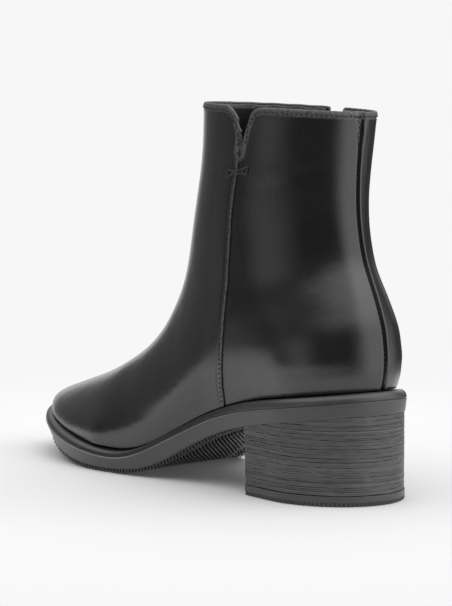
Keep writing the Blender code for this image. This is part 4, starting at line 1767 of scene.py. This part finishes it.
@dataclass
class Sole:
    """Moulded outsole, its ribbed tread and the sock inside."""

    bench: Bench
    form: SoleForm
    finishes: Finishes
    stations: int = 150
    wall: float = 2.0
    sock_inset: float = 2.0
    fit_gap: float = 0.3
    rim_tall: float = 3.8
    rim_slim: float = 0.30
    slim_stations: Pair = (60.0, 140.0)
    # Share of the rim's painted shade and the bead's painted highlight kept at the heel, growing to full
    # between these stations.
    heel_painted_light_share: float = 0.15
    painted_light_fade_stations: Pair = (35.0, 115.0)
    foot_rise: float = 0.9
    tread_edge: float = 1.95
    tread_wall: float = 0.1
    tread_bite: float = 0.2
    recess: float = 2.2
    rib_pitch: float = 2.5
    rib_width: float = 0.88
    rib_slant: float = 1.13
    rib_start: float = 66.5
    rib_depth: float = 2.0
    rib_root: float = 0.12
    rib_inset: float = 0.7
    rib_border: float = 7.0
    rib_strip: float = 5.5
    rib_reach: float = 50.0
    rib_margin: float = 45.0
    rib_step: float = 3.0

    def ring(self, stations: Points, inset: Any, column: str, rise: Any) -> Points:
        """Ring at an inset from the rim.

        Args:
            stations: Stations from the back tip to the toe tip.
            inset: Distance inside the rim, one or for each point.
            column: Side-view column whose height it follows.
            rise: How far it stands above that height.

        Returns:
            Points of the ring.
        """
        loop, side, inwards = self.form.loop(stations)
        moved = loop + inwards * np.broadcast_to(inset, len(loop))[:, None]
        return np.column_stack([moved, self.form.height(column, moved[:, 0], side) + rise])

    def cap(self, ring: Points, up: bool, columns: int = 7) -> Points:
        """Grid that closes a ring between its paired sides.

        Args:
            ring: Closed ring from the back tip along the outer side.
            up: Whether it faces up.
            columns: Points across.

        Returns:
            Rows by columns of places.
        """
        half = len(ring) // 2
        outer = ring[:half + 1]
        inner = ring[-np.arange(half + 1) % len(ring)]
        share = np.linspace(0, 1, columns)[None, :, None]
        near, far = (outer, inner) if up else (inner, outer)
        return near[:, None] * (1 - share) + far[:, None] * share

    def closed(
        self, name: str, rings: list[Points], paint: dict[str, Points] | None = None,
    ) -> Thing:
        """Closed solid through rings.

        Args:
            name: Name of the piece.
            rings: Rings of points, the top one first.
            paint: Values of float attributes, ring by ring.

        Returns:
            The solid.
        """
        parts = [
            self.bench.sheet(name, np.array(rings), wrap=True, paint=paint),
            self.bench.sheet(name, self.cap(rings[0], True)),
            self.bench.sheet(name, self.cap(rings[-1], False)),
        ]
        thing = self.bench.join(name, parts)
        self.bench.weld(thing, turn=True)
        return thing

    def outsole(self) -> None:
        """Sole unit: rounded rim painted dark as shade, fine groove and a bead below it painted pale as a
        highlight, side wall and an undercut.
        """
        x = self.form.stations(self.stations)
        loop_x = self.form.loop(x)[0][:, 0]
        ledge, taper = (self.form.side[name](loop_x) for name in ("ledge", "taper"))
        slim = self.rim_slim * smooth_step(*self.slim_stations, loop_x)
        rings = [self.ring(x, ledge + self.wall + self.sock_inset, "rim_top", 0.0)]
        rings += [self.ring(x, ledge * share, "rim_top", drop * (slim - 1)) for share, drop in RIM_SECTION]
        groove = len(rings) + 1
        rings += [self.ring(x, inset, "rim_top", self.rim_tall * slim - drop) for inset, drop in BEAD_SECTION]
        top, low = rings[-1], self.ring(x, taper, "wall_low", self.foot_rise)
        rings += [top * (1 - share) + low * share for share in (0.25, 0.5, 0.75, 1.0)]
        undercut = ((self.tread_edge, 0.0), (self.tread_edge + self.tread_wall, self.recess))
        rings += [self.ring(x, taper + inset, "wall_low", rise) for inset, rise in FOOT_SECTION + undercut]
        number = np.arange(len(rings))
        # Masks of the painted shade on the rim and groove and of the painted highlight on the bead.
        painted_light_masks = {"rim": number <= groove, "bead": (number > groove) & (number <= groove + 3)}
        # The painted shade and highlight fade to a small share towards the heel.
        tone = self.heel_painted_light_share + (1 - self.heel_painted_light_share) * smooth_step(*self.painted_light_fade_stations, loop_x)
        paint = {name: np.outer(share, tone) for name, share in painted_light_masks.items()}
        thing = self.closed("outsole_unit", rings, paint)
        self.bench.dress(thing, Body.BOOT, "rubber", self.finishes.rubber, angle=30.0, node="outsole")

    def tread_face(self, x: Points, y: Points) -> Points:
        """Height of the walking face, straight between the two sides of the sole.

        Args:
            x: Stations.
            y: Distances to the outer side.

        Returns:
            Heights.
        """
        outer, inner = self.form.rim(x)
        share = np.clip((y - inner) / np.maximum(outer - inner, 1e-6), 0, 1)
        low = self.form.tread_low(x, Side.INNER)
        return low + (self.form.tread_low(x, Side.OUTER) - low) * share

    def tread(self) -> None:
        """Recessed walking layer: a smooth base that the ribs stand out of."""
        loop, side, inwards = self.form.loop(self.form.stations(self.stations))
        taper = self.form.side["taper"](loop[:, 0])
        rings = []
        for inset, share in TREAD_SECTION:
            moved = loop + inwards * (taper + inset)[:, None]
            wall = self.form.height("wall_low", moved[:, 0], side) + self.recess + self.tread_bite
            low = self.form.tread_low(moved[:, 0], side) + self.rib_depth
            rings.append(np.column_stack([moved, wall + (low - wall) * share]))
        thing = self.closed("tread_base", rings)
        self.bench.dress(thing, Body.BOOT, "rubber", self.finishes.rubber, angle=25.0)

    def rib_lines(self) -> list[Points]:
        """Plan lines of the slanting ribs, cut at the heel and at the plain strip inside the edge.

        Returns:
            Points of each line.
        """
        length = self.form.length
        loop = self.form.loop(self.form.stations(200))[0]
        along = np.linspace(-self.rib_reach, self.rib_reach, 401)
        bands = ((self.rib_inset, self.rib_border), (self.rib_border + self.rib_strip, FAR))
        lines = []
        for start in np.arange(self.rib_start - self.rib_margin, length + self.rib_margin, self.rib_pitch):
            line = np.stack([start - self.rib_slant * along, along], 1)
            outer, inner = self.form.rim(np.clip(line[:, 0], 0, length))
            edge = np.min(np.linalg.norm(line[:, None] - loop[None], axis=2), axis=1)
            inside = (line[:, 1] < outer) & (line[:, 1] > inner)
            inside &= (line[:, 0] > self.rib_start) & (line[:, 0] < length)
            depth = edge - self.form.side["taper"](line[:, 0])
            for low, high in bands:
                there = inside & (depth > low) & (depth < high)
                cuts = np.flatnonzero(np.diff(np.concatenate([[0], there.astype(int), [0]])))
                lines += [line[a:b] for a, b in zip(cuts[::2], cuts[1::2]) if b - a > 5]
        return lines

    def ribs(self) -> None:
        """Ribs of the tread as one mesh of slanting bars that follow the walking face."""
        points, faces, base = [], [], 0
        corners = len(RIB_SECTION)
        for line in self.rib_lines():
            index = np.concatenate([[0.0], resampled(line, self.rib_step), [len(line) - 1.0]])
            path = picked(line, index)
            way = unit(line[-1:] - line[:1])[0]
            aside = np.array([-way[1], way[0]]) * self.rib_width
            rows = []
            for offset, share in RIB_SECTION:
                place = path + aside * offset
                rise = (self.rib_depth + self.rib_root) * (1 - share)
                rows.append(np.column_stack([place, self.tread_face(place[:, 0], place[:, 1]) + rise]))
            points.append(np.stack(rows, 1).reshape(-1, 3))
            last = base + (len(path) - 1) * corners
            for first in range(base, last, corners):
                for k in range(corners):
                    a, b = first + k, first + (k + 1) % corners
                    faces.append((a, b, b + corners, a + corners))
            faces.append(tuple(base + k for k in reversed(range(corners))))
            faces.append(tuple(last + k for k in range(corners)))
            base = last + corners
        thing = self.bench.meshed("tread_ribs", np.concatenate(points), faces)
        self.bench.weld(thing, turn=True)
        self.bench.dress(thing, Body.BOOT, "rubber", self.finishes.rubber)

    def sock(self) -> None:
        """Insole with a soft edge."""
        x = self.form.stations(self.stations)
        loop_x = self.form.loop(x)[0][:, 0]
        inset = self.form.side["ledge"](loop_x) + self.wall + self.sock_inset
        rings = [self.ring(x, inset + more, "rim_top", self.fit_gap + rise) for more, rise in SOCK_SECTION]
        thing = self.closed("sock", rings)
        self.bench.dress(thing, Body.BOOT, "lining", self.finishes.lining, angle=40.0, node="insole")

    def build(self) -> None:
        """Builds the sole's pieces in order."""
        self.outsole()
        self.tread()
        self.ribs()
        self.sock()


@dataclass
class Heel:
    """Stacked block heel and the lift that meets the floor."""

    bench: Bench
    form: SoleForm
    finishes: Finishes
    breast_top: float = 64.5
    breast_low: float = 62.5
    inset: float = 1.0
    lift_height: float = 4.6
    fit_gap: float = 0.3
    seat_bite: float = 0.5
    corner: float = 1.4
    columns: int = 170
    teeth: int = 104
    seed: int = 11
    layer: Pair = (0.85, 1.35)
    layer_lip: float = 0.13
    groove: tuple[Pair, ...] = ((0.34, 0.54), (0.08, 0.22))
    ripple_turns: tuple[int, ...] = (3, 8, 17, 29, 43)
    uneven_range: Pair = (0.2, 1.3)

    def outline(self, breast: float, inset: float, count: int) -> Points:
        """D-shaped loop with rounded front corners.

        Args:
            breast: Station of the front face.
            inset: Distance inside the sole's rim.
            count: Points in the loop.

        Returns:
            Plan points, evenly spaced from the back tip along the outer side.
        """
        x = (breast - self.corner) * (1 - np.cos(np.linspace(0, math.pi / 2, 60)))
        sides = []
        for side, edge in zip(Side, self.form.rim(x)):
            line = np.stack([x, edge], 1)
            along = unit(np.gradient(line, axis=0))
            along[0] = (0.0, float(side))
            line = line + np.stack([along[:, 1], -along[:, 0]], 1) * inset * side
            turn = np.linspace(0, math.pi / 2, 7)[1:]
            ahead = line[-1, 0] + self.corner * np.sin(turn)
            arc = np.stack([ahead, line[-1, 1] - side * self.corner * (1 - np.cos(turn))], 1)
            sides.append(np.concatenate([line, arc]))
        loop = np.concatenate([sides[0], sides[1][::-1]])
        run = run_along(loop)
        wanted = np.linspace(0, run[-1], count, endpoint=False)
        return np.stack([np.interp(wanted, run, loop[:, k]) for k in range(2)], 1)

    def layers(self, low: float, high: float) -> list[tuple[float, float, Points]]:
        """Rows of the stack, each layer's groove first.

        Args:
            low: Height of the lowest layer's foot.
            high: Height that the layers have to reach.

        Returns:
            Height, depth of the groove and starts of the ripples, row by row.
        """
        chance = np.random.default_rng(self.seed)
        rows = []
        z = low
        while z < high:
            thick = chance.uniform(*self.layer)
            deep = chance.uniform(*self.groove[len(rows) // 3 % 2])
            wave = chance.uniform(0, math.tau, len(self.ripple_turns))
            rows += [(z, deep, wave), (z + self.layer_lip, 0.0, wave)]
            z += thick
            rows += [(z - self.layer_lip, 0.0, wave)]
        return rows

    def block(self) -> None:
        """Block of thin level layers, cut off by the sole's sloping seat."""
        low = self.lift_height + self.fit_gap
        high = float(self.form.tread_low(0.0, Side.OUTER)) + self.seat_bite
        place = np.arange(self.columns) / self.columns * math.tau
        rings = []
        for height, deep, wave in self.layers(low, high)[::-1]:
            share = (height - low) / (high - low)
            breast = self.breast_low + (self.breast_top - self.breast_low) * share
            loop = self.outline(breast, self.inset, self.columns)
            ripple = [np.sin(turns * place + start) for turns, start in zip(self.ripple_turns, wave)]
            uneven = 0.80 + 0.25 * ripple[2] + 0.25 * ripple[3] + 0.20 * ripple[4]
            sunk = deep * np.clip(uneven, *self.uneven_range) + 0.05 * ripple[1] * (deep == 0.0)
            loop = loop + inward(loop) * sunk[:, None]
            level = height + 0.08 * ripple[0] + 0.06 * ripple[1] + 0.04 * ripple[2]
            seat = self.form.tread_low(loop[:, 0], Side.OUTER) + self.seat_bite
            rings.append(np.column_stack([loop, np.clip(level, low, seat)]))
        thing = self.bench.sheet("heel_stack", np.array(rings), wrap=True)
        self.bench.weld(thing, reach=0.01, fill=True, turn=True)
        self.bench.dress(thing, Body.BOOT, "stack", self.finishes.stack, angle=30.0, node="heel_block")

    def lift(self) -> None:
        """Top piece with a fine serrated lower edge."""
        count = self.teeth * 2
        tooth = (np.arange(count) % 2).astype(float)
        rings = []
        for height, inset, bite in LIFT_SECTION:
            loop = self.outline(self.breast_low, inset, count)
            loop = loop + inward(loop) * (bite * tooth)[:, None]
            rings.append(np.column_stack([loop, np.full(count, height)]))
        thing = self.bench.sheet("heel_top_piece", np.array(rings), wrap=True)
        self.bench.weld(thing, fill=True, turn=True)
        self.bench.dress(thing, Body.BOOT, "rubber", self.finishes.rubber, angle=30.0, node="heel_lift")

    def build(self) -> None:
        """Builds the heel's pieces in order."""
        self.block()
        self.lift()


@dataclass
class Zip:
    """Inner side zip: woven tape, interlocking teeth, slider and the pull on its hinge."""

    bench: Bench
    last: LastForm
    finishes: Finishes
    nodes: dict[str, Thing]
    low: float = 70.0
    slot_half: float = 5.2
    slot_round: float = 14.0
    fit_gap: float = 0.3
    tape_start: float = 2.5
    tape_top: float = 174.5
    tape_depth: float = 0.7
    tape_thick: float = 1.0
    tape_rows: int = 60
    tape_columns: int = 17
    line_rise: float = 0.16
    line_place: float = 0.52
    line_half: float = 0.10
    chain_start: float = 5.0
    chain_gap: float = 1.0
    chain_proud: float = 0.9
    tooth_pitch: float = 0.9
    tooth_size: Pair = (2.7, 0.837)
    tooth_head: float = 1.25
    tooth_round: float = 0.28
    tooth_aside: float = 0.75
    slider_height: float = 163.0
    slider_length: float = 9.0

    def frames(self, low: float, high: float, count: int) -> tuple[Points, Points, Points, Points]:
        """Places and axes along the zip.

        Args:
            low: Lowest height.
            high: Highest height.
            count: Number of places.

        Returns:
            Centres, ways across, ways up and ways out.
        """
        last = self.last
        ends = [last.level_at(height, Side.INNER, last.zip) for height in (low, high)]
        centres, across = [], []
        for level in np.linspace(*ends, count):
            run = last.crossing(level, Side.INNER, last.zip)
            back, centre, front = last.points(level, Side.INNER, run + np.array([-2.0, 0.0, 2.0]))
            centres.append(centre)
            across.append(front - back)
        centres, across = np.array(centres), unit(np.array(across))
        up = unit(np.gradient(centres, axis=0))
        return centres, across, up, unit(np.cross(across, up))

    def tape(self) -> None:
        """Woven tape below the leather's face, a little raised along a line on either side of the teeth."""
        centres, across, _, out = self.frames(self.low + self.tape_start, self.tape_top, self.tape_rows)
        half = self.slot_half * round_end(centres[:, 2] - self.low, self.slot_round, 2.0) - self.fit_gap
        share = np.linspace(-1, 1, self.tape_columns)
        lift = self.line_rise * np.exp(-((np.abs(share) - self.line_place) / self.line_half) ** 2)
        wide = half[:, None, None] * share[None, :, None]
        points = centres[:, None] + across[:, None] * wide
        points = points + out[:, None] * (lift - self.tape_depth)[None, :, None]
        thing = self.bench.sheet("zip_tape_woven", points)
        self.bench.modify(thing, "SOLIDIFY", {"thickness": self.tape_thick * MM, "offset": -1.0})
        self.bench.dress(thing, Body.BOOT, "tape", self.finishes.tape, angle=50.0, node="zip_tape")

    def tooth(self) -> Thing:
        """One tooth: X across, Y up the zip, Z out, with rounded edges and a thicker head.

        Returns:
            The tooth, in metres about the origin.
        """
        self.bench.rest()
        bpy.ops.mesh.primitive_cube_add(size=1.0)
        thing = self.bench.named("tooth")
        long, wide = self.tooth_size
        tall = self.chain_proud + self.tape_depth - self.fit_gap
        for vertex in thing.data.vertices:
            x, y, z = vertex.co
            head = self.tooth_head if x < 0 else 1.0
            vertex.co = (x * long * MM, y * wide * head * MM, z * tall * MM)
        with self.bench.editing(thing):
            bpy.ops.mesh.bevel(offset=self.tooth_round * MM, segments=1, affect="EDGES")
        return thing

    def teeth(self) -> None:
        """Closed chain: teeth from the two sides in turn."""
        high = self.slider_height - self.slider_length / 2 - self.chain_gap
        centres, *ways = self.frames(self.low + self.chain_start, high, 80)
        index = resampled(centres, self.tooth_pitch)
        side = np.where(np.arange(len(index)) % 2, 1.0, -1.0)[:, None]
        across, up, out = (unit(picked(way, index)) for way in ways)
        middle = (self.chain_proud - self.tape_depth + self.fit_gap) / 2
        places = picked(centres, index) + across * side * self.tooth_aside + out * middle
        frames = np.stack([across * side, up * side, out], 1)
        thing = self.bench.stamped("zip_teeth", self.tooth(), places, frames)
        self.bench.dress(thing, Body.BOOT, "coil", self.finishes.coil, node="zip_chain")

    def metal(self, node: str, name: str, body: Body, round_edge: float) -> None:
        """Cast part: the node's own form with rounded edges.

        Args:
            node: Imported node.
            name: Name of the piece.
            body: Body that it rides on.
            round_edge: Radius of its edges.
        """
        thing = self.bench.copied(name, self.nodes[node])
        self.bench.modify(thing, "BEVEL", {
            "width": round_edge * MM, "segments": 3,
            "limit_method": "ANGLE", "angle_limit": math.radians(30.0),
        })
        self.bench.dress(thing, body, "metal", self.finishes.metal, angle=35.0, node=node)

    def build(self) -> None:
        """Builds the zip's pieces in order."""
        self.tape()
        self.teeth()
        self.metal("zip_slider", "zip_slider_cast", Body.BOOT, 0.4)
        self.metal("zip_pull", "zip_pull_frame", Body.PULL, 0.35)


@dataclass(frozen=True)
class Panel:
    """Soft light panel far off: where it stands round the boot, how high it reaches and how bright it is."""

    power: float
    turn: Pair = (-400.0, 400.0)
    turn_soft: float = 20.0
    rise: Pair = (-2.0, 2.0)
    rise_soft: float = 0.1

    def glow(self, turn: Value, up: Value) -> Value:
        """Light of the panel.

        Args:
            turn: Degrees from straight behind the boot, the picture's right being positive.
            up: Rise of the direction, -1 to 1.

        Returns:
            Brightness.
        """
        found = self.power
        for value, (low, high), soft in ((turn, self.turn, self.turn_soft), (up, self.rise, self.rise_soft)):
            found = found * value.step(low - soft, low + soft) * (1 - value.step(high - soft, high + soft))
        return found


# Panels of the studio by the side of the picture that they stand on.
PANELS = {
    "right": Panel(1.10, (62.0, 141.0), 20.0, (-0.5, 0.75), 0.15),
    "left": Panel(0.50, (-132.0, -103.0), 14.0, (-0.3, 0.16), 0.20),
    "top": Panel(1.72, rise=(0.62, 2.0), rise_soft=0.30),
    "far_left": Panel(0.11, (-84.0, -10.0), 16.0),
    "edge": Panel(0.78, (-24.0, -2.0), 8.0, (-0.15, 0.12), 0.06),
    "behind": Panel(1.02, (-15.0, 26.0), 14.0, (0.10, 0.46), 0.10),
}


@dataclass
class Studio:
    """Pale floor, soft lights and the camera at the photograph's angle."""

    bench: Bench
    camera_at: Colour = (-1.3242, 0.9504, 0.242)
    facing: float = 51.0
    focal: float = 2586.0
    frame: Pair = (452.0, 606.0)
    axis: Pair = (300.5, 80.8)
    aim_pixel: Pair = (162.0, 336.0)
    sensor: float = 24.0
    zoom: float = 1.32
    floor_size: float = 1.0
    floor_drop: float = 0.0002
    backdrop: float = 0.93
    room_glow: float = 0.073

    def ways(self) -> tuple[Vector, Vector]:
        """Level view direction and the direction to the picture's right."""
        sine, cosine = (way(math.radians(self.facing)) for way in (math.sin, math.cos))
        return Vector((sine, -cosine, 0.0)), Vector((-cosine, -sine, 0.0))

    def camera(self) -> None:
        """Camera that looks from behind and to the outer side."""
        ahead, right = self.ways()
        across = (self.aim_pixel[0] - self.axis[0]) / self.focal
        down = (self.aim_pixel[1] - self.axis[1]) / self.focal
        way = ahead + right * across - Vector((0.0, 0.0, down))
        data = bpy.data.cameras.new("camera")
        data.sensor_width = self.sensor
        data.lens = self.focal / self.frame[1] * self.sensor * self.zoom
        data.clip_start = 0.01
        thing = bpy.data.objects.new("camera", data)
        thing.location = self.camera_at
        thing.rotation_euler = way.to_track_quat("-Z", "Y").to_euler()
        bpy.context.scene.collection.objects.link(thing)
        bpy.context.scene.camera = thing

    def floor(self) -> None:
        """Pale table top."""
        self.bench.rest()
        bpy.ops.mesh.primitive_plane_add(size=self.floor_size, location=(0.0, 0.0, -self.floor_drop))
        thing = self.bench.named("floor")
        thing.data.materials.append(PaleFloor().make())

    def room(self) -> None:
        """Room: plain white where the camera looks straight at it, with soft light panels all round."""
        ahead, right = self.ways()
        room = bpy.data.worlds.new("room")
        room.use_nodes = True
        sheet = NodeSheet(room.node_tree)
        at = sheet.add("ShaderNodeTexCoord").outputs["Generated"]
        deep, aside, up = (
            Value(sheet, sheet.add(
                "ShaderNodeVectorMath", {"operation": "DOT_PRODUCT"}, {0: at, 1: tuple(way)},
            ).outputs["Value"])
            for way in (ahead, right, Vector((0.0, 0.0, 1.0)))
        )
        turn = aside.turn(deep)
        glow = self.room_glow
        for panel in PANELS.values():
            glow = glow + panel.glow(turn, up)
        lit, plain = (
            sheet.add("ShaderNodeBackground", None, {"Strength": strength, "Color": WHITE})
            for strength in (glow, self.backdrop)
        )
        seen = sheet.add("ShaderNodeLightPath").outputs["Is Camera Ray"]
        mix = sheet.add("ShaderNodeMixShader", None, {0: seen, 1: lit.outputs[0], 2: plain.outputs[0]})
        sheet.feed(room.node_tree.nodes["World Output"].inputs["Surface"], mix.outputs[0])
        bpy.context.scene.world = room

    def build(self) -> None:
        """Builds floor, room and camera."""
        bpy.context.scene.view_settings.view_transform = "Standard"
        self.floor()
        self.room()
        self.camera()


def main() -> None:
    """Builds the boot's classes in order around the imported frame."""
    logging.basicConfig(level=logging.INFO, format="%(name)s %(message)s")
    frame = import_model()
    bpy.ops.object.select_all(action="DESELECT")
    sole = SoleForm()
    bench = Bench(sole.centre())
    last = LastForm(sole)
    finishes = Finishes()
    Sole(bench, sole, finishes).build()
    Heel(bench, sole, finishes).build()
    Upper(bench, sole, last, finishes).build()
    Zip(bench, last, finishes, frame["nodes"]).build()
    Studio(bench).build()


if __name__ == "__main__":
    main()
